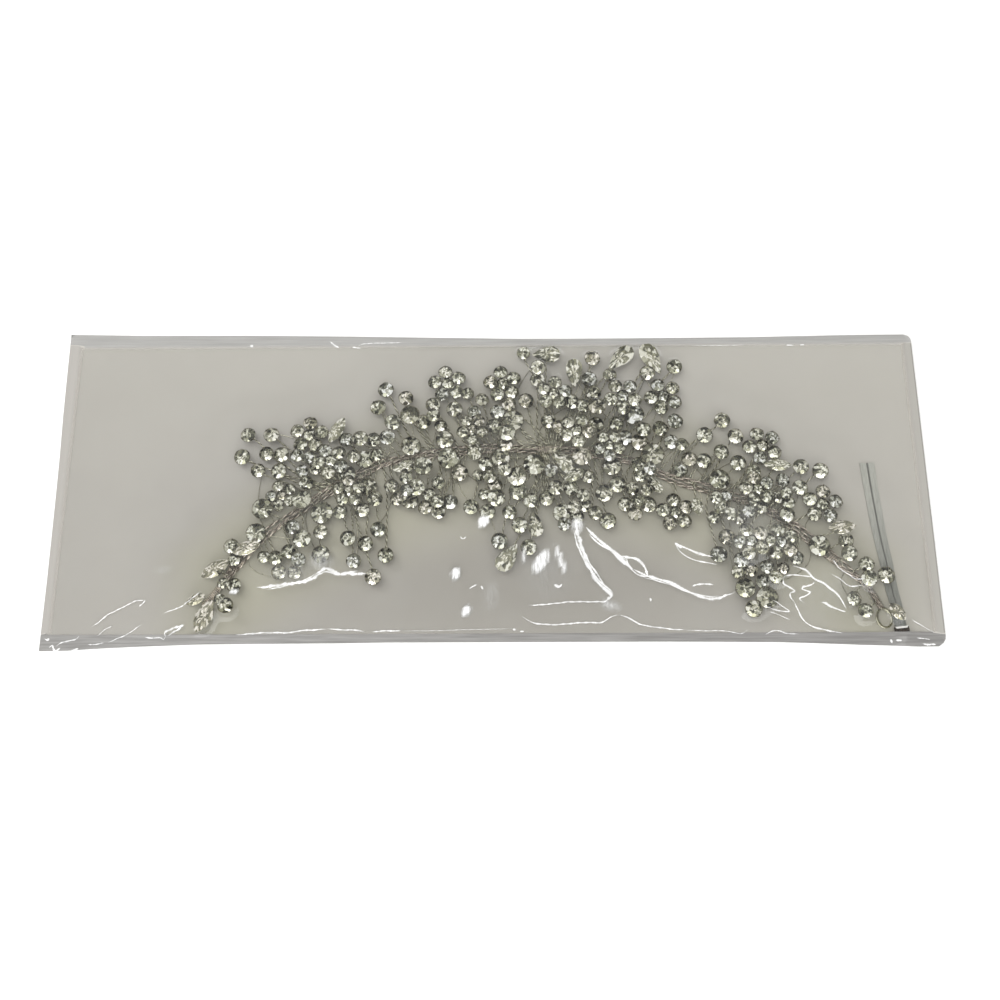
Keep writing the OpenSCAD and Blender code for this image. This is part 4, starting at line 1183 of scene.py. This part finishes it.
# %% The film's shape
def relaxed(height, rounds):
    """The height field after each of its points has moved to the middle of its neighbours, several times."""
    for _ in range(rounds):
        padded = np.pad(height, 1, mode="edge")
        beside = padded[:-2, 1:-1] + padded[2:, 1:-1] + padded[1:-1, :-2] + padded[1:-1, 2:]
        height = (beside + 4 * height) / 8
    return height

COUNT_X, COUNT_Y = 271, 102
CARD_X, CARD_Y = 200.0, 70.0
FILM_FOOT, FILM_PLAIN, FILM_MOST, FILM_WALL = 0.12, 1.75, 15.6, 0.08
DRAPE, MARGIN, EDGE_WIDTH, ROOF_GAP = 0.30, 0.5, 5.3, 0.15
GRID_X, GRID_Y = np.linspace(-FILM_X, FILM_X, COUNT_X), np.linspace(-FILM_Y, FILM_Y, COUNT_Y)
grid_x, grid_y = np.meshgrid(GRID_X, GRID_Y, indexing="ij")
tops, under = np.full(grid_x.shape, FILM_PLAIN), np.zeros(grid_x.shape)

def beside_stone(stone):
    """How far each point of the grid is beyond the oval of a stone."""
    dx, dy = grid_x - stone.foot[0] / MM, grid_y - stone.foot[1] / MM
    oval = np.hypot(
        (dx * stone.along[0] + dy * stone.along[1]) * MM / stone.half[0],
        (dx * stone.across[0] + dy * stone.across[1]) * MM / stone.half[1])
    return np.hypot(dx, dy) * np.clip(1 - 1 / np.maximum(oval, 1e-6), 0, 1)

supports = [(beside_stone(s), (s.foot + s.up * s.height)[2] / MM) for s in all_settings]
CRIMP_AT, WIRE_HALF, WIRE_TOP = (183.2, -68.8, 0), 3.2, 2.6
for x, y, _ in [*stem_line[::5], (LOOP_X, LOOP_Y, 0), CRIMP_AT]:
    supports.append((np.maximum(0, np.hypot(grid_x - x, grid_y - y) - WIRE_HALF), WIRE_TOP))
for off, top in supports:
    tops = np.maximum(tops, top + MARGIN - DRAPE * np.maximum(0, off - MARGIN))
    under = np.maximum(under, np.where(off < 0.6, top + MARGIN / 2, 0))
beyond = np.maximum(np.abs(grid_x) - CARD_X + 0.5, np.abs(grid_y) - CARD_Y - 0.5)
tops = np.minimum(tops, FILM_FLAT + DRAPE * np.maximum(0, -beyond))
held = np.clip(1 - beyond / EDGE_WIDTH, 0, 1)
roof = cad_film(grid_x, grid_y) - ROOF_GAP
tops = np.minimum(np.where(beyond > 0, FILM_FOOT + (tops - FILM_FOOT) * held, tops), roof)
for rounds in (10, 5, 3):
    tops = np.maximum(relaxed(tops, rounds), np.minimum(under, roof))
waves = (
    0.20 * np.sin(grid_x / 11.0 + 1.3 * np.sin(grid_y / 17.0)) * np.sin(grid_y / 9.0 + 0.8)
    + 0.12 * np.sin(grid_x / 5.3 + grid_y / 8.1 + 2.0 * np.sin(grid_x / 23.0)))
lifted = np.clip((tops - 2.0) / 4.0, 0.12, 1)
near = np.zeros(grid_x.shape)
for (cx, cy), width in zip(crease_points, crease_widths):
    gap = (grid_x - cx) ** 2 + (grid_y - cy) ** 2
    near = np.maximum(near, np.exp(-gap / (1.2 * width + 0.6) ** 2) * min(width, 1.6))
tops = np.minimum(tops + waves * lifted + 0.30 * near * lifted, FILM_MOST)
edge_x, edge_y = squeeze(grid_x, grid_y)
over_card = (np.abs(edge_x) < CARD_X + 0.6) & (np.abs(edge_y) < CARD_Y + 0.6)
tops = np.where(over_card, np.maximum(tops, FILM_FLAT - 0.05), tops)
tops[:, 0] = tops[:, -1] = tops[0, :] = FILM_FOOT
tops[-1, 1:-1] = np.maximum(tops[-2, 1:-1], 1.2)

def film_at(x, y):
    """Height of the film's top over any spot, between the points of the grid."""
    u = np.clip((np.asarray(x) - GRID_X[0]) / (GRID_X[1] - GRID_X[0]), 0, COUNT_X - 1.001)
    v = np.clip((np.asarray(y) - GRID_Y[0]) / (GRID_Y[1] - GRID_Y[0]), 0, COUNT_Y - 1.001)
    i, j = u.astype(int), v.astype(int)
    u, v = u - i, v - j
    nearer = tops[i, j] * (1 - u) * (1 - v) + tops[i + 1, j] * u * (1 - v)
    return nearer + tops[i, j + 1] * (1 - u) * v + tops[i + 1, j + 1] * u * v

only()
bpy.ops.mesh.primitive_grid_add(x_subdivisions=COUNT_X - 1, y_subdivisions=COUNT_Y - 1, size=1)
film = bpy.context.object
film.name = film.data.name = "sleeve_film"
flat = np.array([v.co[:] for v in film.data.vertices])
fx, fy = flat[:, 0] * 2 * FILM_X, flat[:, 1] * 2 * FILM_Y
fz = film_at(fx, fy)
sx, sy = squeeze(fx, fy)
film.data.vertices.foreach_set("co", (np.stack([sx, sy, fz], axis=1) * MM).ravel())
film.data.update()
print("film top from", round(fz.min(), 2), "to", round(fz.max(), 2), "mm")

# %% [markdown]
# The underside is the same outline laid flat. The outer edges of the grid are copied down as one face, and
# the two meet along the three seams. Then the film gets its thickness.

# %% The film's underside and thickness
only(film)
bpy.ops.object.mode_set(mode="EDIT")
bpy.ops.mesh.select_mode(type="EDGE")
bpy.ops.mesh.select_all(action="SELECT")
bpy.ops.mesh.region_to_loop()
bpy.ops.mesh.duplicate()
bpy.ops.mesh.edge_face_add()
bpy.ops.object.mode_set(mode="OBJECT")
for v in film.data.vertices[len(fx):]:
    v.co.z = FILM_FOOT * MM
bpy.ops.object.mode_set(mode="EDIT")
bpy.ops.mesh.select_all(action="SELECT")
bpy.ops.mesh.remove_doubles(threshold=0.01 * MM)
bpy.ops.mesh.normals_make_consistent(inside=False)
bpy.ops.object.mode_set(mode="OBJECT")
wall = film.modifiers.new("thickness", "SOLIDIFY")
wall.thickness, wall.offset = FILM_WALL * MM, -1
bpy.ops.object.modifier_apply(modifier="thickness")
bpy.ops.object.shade_smooth_by_angle(angle=math.radians(50))

# %% [markdown]
# Three values are kept on the film's points. `rim` is how far a point is beyond the card, in millimetres,
# and less than nothing over it. `end_rim` is the same for the two ends alone. The third is high in soft
# bright patches of painted reflection, where the film lies just so that it would catch a lamp. The
# patches are charted: a place, half a width, half a depth, a strength and a lean.

# %% The film's values
# Patches of painted reflection: soft bright glare where the film would catch a lamp.
PAINTED_GLARES = [
    (23, -36.4, 3.0, 5.0, 0.75, 0.45), (31.8, -35.4, 1.2, 6.4, 0.65, -0.35),
    (15.5, -33.5, 0.9, 3.4, 0.45, 0), (-3.5, -17.5, 2.2, 2.4, 0.9, 0.3), (-16.5, -41.5, 1.8, 2.6, 0.9, 0),
    (-11.3, -59.3, 2.0, 2.3, 0.8, 0.2), (0, -52, 3, 6, 0.10, 0), (54, -56.8, 3.4, 2.4, 0.3, -0.8),
    (26, -43, 11, 11, 0.06, 0), (-150, -40, 4, 1.6, 0.10, 0), (-116.5, -50.6, 1.6, 1.0, 0.9, 0),
    (-78, -37, 5, 3.4, 0.22, 0), (-90, -42, 9, 4, 0.10, 0), (40, -20, 2.4, 3.2, 0.55, 0),
    (118, -22, 16, 12, 0.05, 0), (150, -52, 14, 12, 0.05, 0)]
NOT_AT_END, CRISP, UPPER_SIDE = -9.0, 0.4, 0.3
kept_points = np.array([v.co[:] for v in film.data.vertices]) / MM
past_end, past_side = np.abs(kept_points[:, 0]) - CARD_X, np.abs(kept_points[:, 1]) - CARD_Y
keep_values(film, "rim", "POINT", np.maximum(past_end, past_side))
keep_values(film, "end_rim", "POINT", np.where(past_side < 0.2, past_end, NOT_AT_END))
painted_glare = np.zeros(len(kept_points))
for x, y, wide, deep, strength, lean in PAINTED_GLARES:
    spot = on_film(x, y)
    dx, dy = kept_points[:, 0] - spot[0], kept_points[:, 1] - spot[1]
    far = ((dx - lean * dy) / wide) ** 2 + (dy / deep) ** 2
    painted_glare = np.maximum(painted_glare, strength * np.exp(-far ** (3.0 if strength > CRISP else 1.2)))
keep_values(film, "painted_glare", "POINT", np.where(kept_points[:, 2] > UPPER_SIDE, painted_glare, 0))

# %% [markdown]
# Film could be real glass, but thin glass lets little lamplight through to what it covers. So it is a
# surface that is mostly open, and solid to the share that it mirrors, which grows where it is seen edge
# on. The rims beyond the card are double, rubbed and milky, and cover what is below them. At the back and
# at both ends they begin gently over the card's edge. A half-open film shades the card, so painted light
# makes it lighter there, and the card keeps its brightness.

# %% Where the film covers
def see_through(name, roughness):
    """The finish of clear plastic, before it is said where it is open."""
    finish = Finish(name, roughness=roughness)
    finish.skin.inputs["IOR"].default_value = 1.5
    return finish

BACK_FADE, END_FADE, RIM_COVER, END_COVER = 2.0, 3.0, 0.8, 0.98
clear_film = see_through("clear_film", 0.06)
past_card, past_ends = clear_film.values("rim"), clear_film.values("end_rim")
_, film_x, film_y = clear_film.place()
to_right, to_back = clear_film.spread(film_x, -0.15, 0.15), clear_film.spread(film_y, -0.07, 0.07)
at_back = clear_film.sum("GREATER_THAN", film_y, 0.0)
side_part = clear_film.sum("GREATER_THAN", past_card, 0.0)
back_part = clear_film.sum("MULTIPLY", at_back, clear_film.sum("GREATER_THAN", past_card, -BACK_FADE))
end_part = clear_film.sum("GREATER_THAN", past_ends, -END_FADE)
rim_part = clear_film.sum("MAXIMUM", clear_film.sum("MAXIMUM", side_part, back_part), end_part)
back_share = clear_film.spread(past_card, -BACK_FADE, 0.3)
back_cover = clear_film.sum("MULTIPLY", at_back, clear_film.sum("MULTIPLY", back_share, RIM_COVER))
side_cover = clear_film.sum("MAXIMUM", clear_film.sum("MULTIPLY", side_part, RIM_COVER), back_cover)
end_cover = clear_film.spread(past_ends, -END_FADE, 0.2, 0.0, END_COVER)
rim_cover = clear_film.sum("MAXIMUM", side_cover, end_cover)

# %% The rims' tones
rim_lines = clear_film.cloud(420, 0, 1, detail=3, stretch=(0.12, 3.0, 1))
left_front = clear_film.between(rim_lines, (0.256, 0.251, 0.243), (0.382, 0.377, 0.367))
right_front = clear_film.between(rim_lines, (0.213, 0.208, 0.202), (0.305, 0.300, 0.292))
front_rim = clear_film.between(to_right, left_front, right_front)
back_rim = clear_film.between(rim_lines, (0.380, 0.375, 0.365), (0.460, 0.455, 0.445))
# Painted light: where the back rim is half open it is made lighter, to make up for the shade it throws.
back_rim = clear_film.between(back_share, (0.770, 0.755, 0.710), back_rim)
side_rim = clear_film.between(to_back, front_rim, back_rim)
end_rim = clear_film.between(to_right, (0.382, 0.366, 0.345), (0.360, 0.348, 0.322))
# Painted light: the half-open ends are made lighter in the same way.
end_rim = clear_film.between(end_cover, (0.700, 0.672, 0.626), end_rim)
open_edge = clear_film.sum("MULTIPLY", clear_film.sum("GREATER_THAN", past_ends, 2.0), to_right)
end_rim = clear_film.between(open_edge, end_rim, (0.270, 0.262, 0.245))
milky = clear_film.between(end_part, side_rim, end_rim)
film_tone = clear_film.between(rim_part, (0.96, 0.97, 0.98), milky)
clear_film.join(film_tone, clear_film.skin.inputs["Base Color"])

# %% The film's gloss
MIRROR_LEAST, MIRROR_MOST = 0.014, 0.9
# The glare patches are painted reflection, made whiter and streaked.
streaks = clear_film.cloud(330, 0.25, 1.5, detail=5, stretch=(4.0, 0.7, 1))
glare_patch = clear_film.sum("MULTIPLY", clear_film.values("painted_glare"), streaks)
edge_on = clear_film.sum("POWER", clear_film.add("ShaderNodeLayerWeight").outputs["Facing"], 5)
mirror = clear_film.sum("ADD", clear_film.sum("MULTIPLY", edge_on, MIRROR_MOST), MIRROR_LEAST)
scuffs = clear_film.cloud(60, 0.0, 0.02, detail=5)
glossy = clear_film.sum("ADD", clear_film.sum("ADD", mirror, scuffs), glare_patch)
clear_film.join(clear_film.sum("MAXIMUM", glossy, rim_cover), clear_film.skin.inputs["Alpha"])
white_part = clear_film.sum("MAXIMUM", rim_part, clear_film.sum("MULTIPLY", glare_patch, 1.6))
clear_film.join(clear_film.sum("SUBTRACT", 1.0, white_part), clear_film.skin.inputs["Metallic"])
film.data.materials.clear()
film.data.materials.append(clear_film.material)
settle(film, ["sleeve"])

# %% [markdown]
# ## The creases
# Where the film has been folded sharply, a painted glint shows it as a thin white line that tapers at
# both ends. A crease is a low, long tent on the film. Its value runs from 0 at its feet to 1 on its ridge,
# so its sides fade into the clear film. A wide and long crease has a narrower twin glint, painted too,
# that crosses it in waves, as the film's second wall gives.

# %% The creases
WIDE, LONG = 1.4, 12
TENT = (
    (-1, 0.02, 0.0), (-0.55, 0.10, 0.85), (0, 0.16, 1.0),
    (0.55, 0.10, 0.85), (1, 0.02, 0.0), (0, -0.05, 0.0))
tent_points, tent_faces, tent_values = [], [], []
twins = []
for width, line in crease_lines:
    if width >= WIDE and len(line) > LONG:
        side, _ = sides_along(line)
        apart = 0.75 * width * np.sin(np.linspace(0.3, 2.6, len(line)) * 2.0)[:, None]
        twins.append((0.4 * width, (line + apart * side)[len(line) // 8:-len(line) // 8]))
for width, line in crease_lines + twins:
    fine = smooth_line(line, 0.5)
    side, _ = sides_along(fine)
    count = len(fine)
    position = np.linspace(0, 1, count)
    taper = np.clip(np.minimum(position, 1 - position) * 7, 0.08, 1) ** 0.8
    rough = np.sin(fine[:, 0] * 1.7 + fine[:, 1] * 2.3) + 0.6 * np.sin(fine[:, 0] * 4.1 - fine[:, 1] * 3.0)
    half = 0.55 * width * taper * (1 + 0.34 * rough + 0.2 * np.sin(7.3 * fine[:, 0] - 5.1 * fine[:, 1]))
    fine = fine + (0.10 * width * np.sin(fine[:, 0] * 0.9 + fine[:, 1] * 1.3))[:, None] * side
    tent_faces += tube_faces(len(tent_points), count, len(TENT))
    for p, s, h in zip(fine, side, half):
        x, y = squeeze(np.array(p[0]), np.array(p[1]))
        ridge_foot = np.array((float(x), float(y), float(film_at(p[0], p[1]))))
        tent_points += [(ridge_foot + u * h * s + (0, 0, up)) * MM for u, up, _ in TENT]
        tent_values += [value for _, _, value in TENT]
glint_tents = mesh_piece("film_crease_glints", tent_points, tent_faces, [])
keep_values(glint_tents, "ridge", "POINT", tent_values)
outward_and_smooth(glint_tents, 60)
# The white of a crease is a painted glint, broken along its length.
glint_white = see_through("painted_crease_glint", 0.3)
ridge = glint_white.sum("POWER", glint_white.values("ridge"), 1.3)
broken = glint_white.cloud(240, 0.55, 1.0, detail=4)
glint_white.join(glint_white.sum("MULTIPLY", ridge, broken), glint_white.skin.inputs["Alpha"])
glint_tone = glint_white.between(broken, (0.85, 0.86, 0.88), (1.0, 1.0, 1.0))
glint_white.join(glint_tone, glint_white.skin.inputs["Base Color"])
glint_tents.data.materials.append(glint_white.material)
settle(glint_tents)

# %% [markdown]
# ## Floor and light
# The photograph has a plain white surround, so the floor is a plain pale sheet. The light is soft: a
# bright, even sky, a panel overhead and a smaller one from the back left, which give the faint shadows
# beside the stones, and a wide panel low in front. Only the sky and the front panel are mirrored by the
# stones and the film. Seven small lamps stand round the object, so that no side of it stays dark.

# %% Floor
only()
bpy.ops.mesh.primitive_plane_add(size=8)
floor = bpy.context.object
floor.name = "floor"
paper = Finish("floor_paper", roughness=0.9)
paper_tone = paper.between(paper.cloud(3, 0, 1, detail=1), (0.90, 0.90, 0.90), (0.92, 0.92, 0.92))
paper.join(paper_tone, paper.skin.inputs["Base Color"])
paper.skin.inputs["Specular IOR Level"].default_value = 0.1
floor.data.materials.append(paper.material)
floor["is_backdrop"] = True

# %% Light
def panel(name, at, size, power, mirrored=True):
    """An area light that faces the object's middle. It may be left out of all mirrors."""
    light = bpy.data.objects.new(name, bpy.data.lights.new(name, "AREA"))
    light.data.shape, light.data.energy = "RECTANGLE", power
    light.data.size, light.data.size_y = size
    light.location, light.visible_glossy = at, mirrored
    light.rotation_euler = (-Vector(at)).to_track_quat("-Z", "Y").to_euler()
    scene.collection.objects.link(light)

panel("panel_top", (-0.3, 0.1, 1.4), (0.7, 0.7), 6.0, mirrored=False)
panel("panel_left", (-0.8, 0.55, 0.85), (0.4, 0.4), 3.0, mirrored=False)
panel("panel_front", (0.15, -1.35, 0.65), (2.2, 1.0), 13.0)
LAMPS, LAMP_AWAY = ((20, 30), (75, 22), (135, 20), (200, 24), (235, 42), (290, 46), (340, 40)), 1.3
for k, (azimuth, elevation) in enumerate(LAMPS):
    turn, rise = math.radians(azimuth), math.radians(elevation)
    level_away = LAMP_AWAY * math.cos(rise)
    spot = (level_away * math.cos(turn), level_away * math.sin(turn), LAMP_AWAY * math.sin(rise))
    panel("lamp_%d" % (k + 1), spot, (0.09, 0.09), 0.2, mirrored=False)
world = bpy.data.worlds.new("studio")
scene.world = world
world.use_nodes = True
sky = world.node_tree.nodes["Background"]
direction = world.node_tree.nodes.new("ShaderNodeTexCoord")
parts = world.node_tree.nodes.new("ShaderNodeSeparateXYZ")
ramp = world.node_tree.nodes.new("ShaderNodeValToRGB")
world.node_tree.links.new(direction.outputs["Generated"], parts.inputs[0])
world.node_tree.links.new(parts.outputs["Z"], ramp.inputs["Fac"])
world.node_tree.links.new(ramp.outputs["Color"], sky.inputs["Color"])
ramp.color_ramp.elements[0].color = (0.70, 0.70, 0.69, 1)
ramp.color_ramp.elements[1].color = (0.97, 0.96, 0.93, 1)
ramp.color_ramp.elements.new(0.55).color = (0.88, 0.88, 0.86, 1)
sky.inputs["Strength"].default_value = 0.9
scene.view_settings.view_transform = "Standard"
scene.cycles.transparent_max_bounces = 32

# %% Finish
low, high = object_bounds()
print("finished box", [round(v, 4) for v in low], [round(v, 4) for v in high])
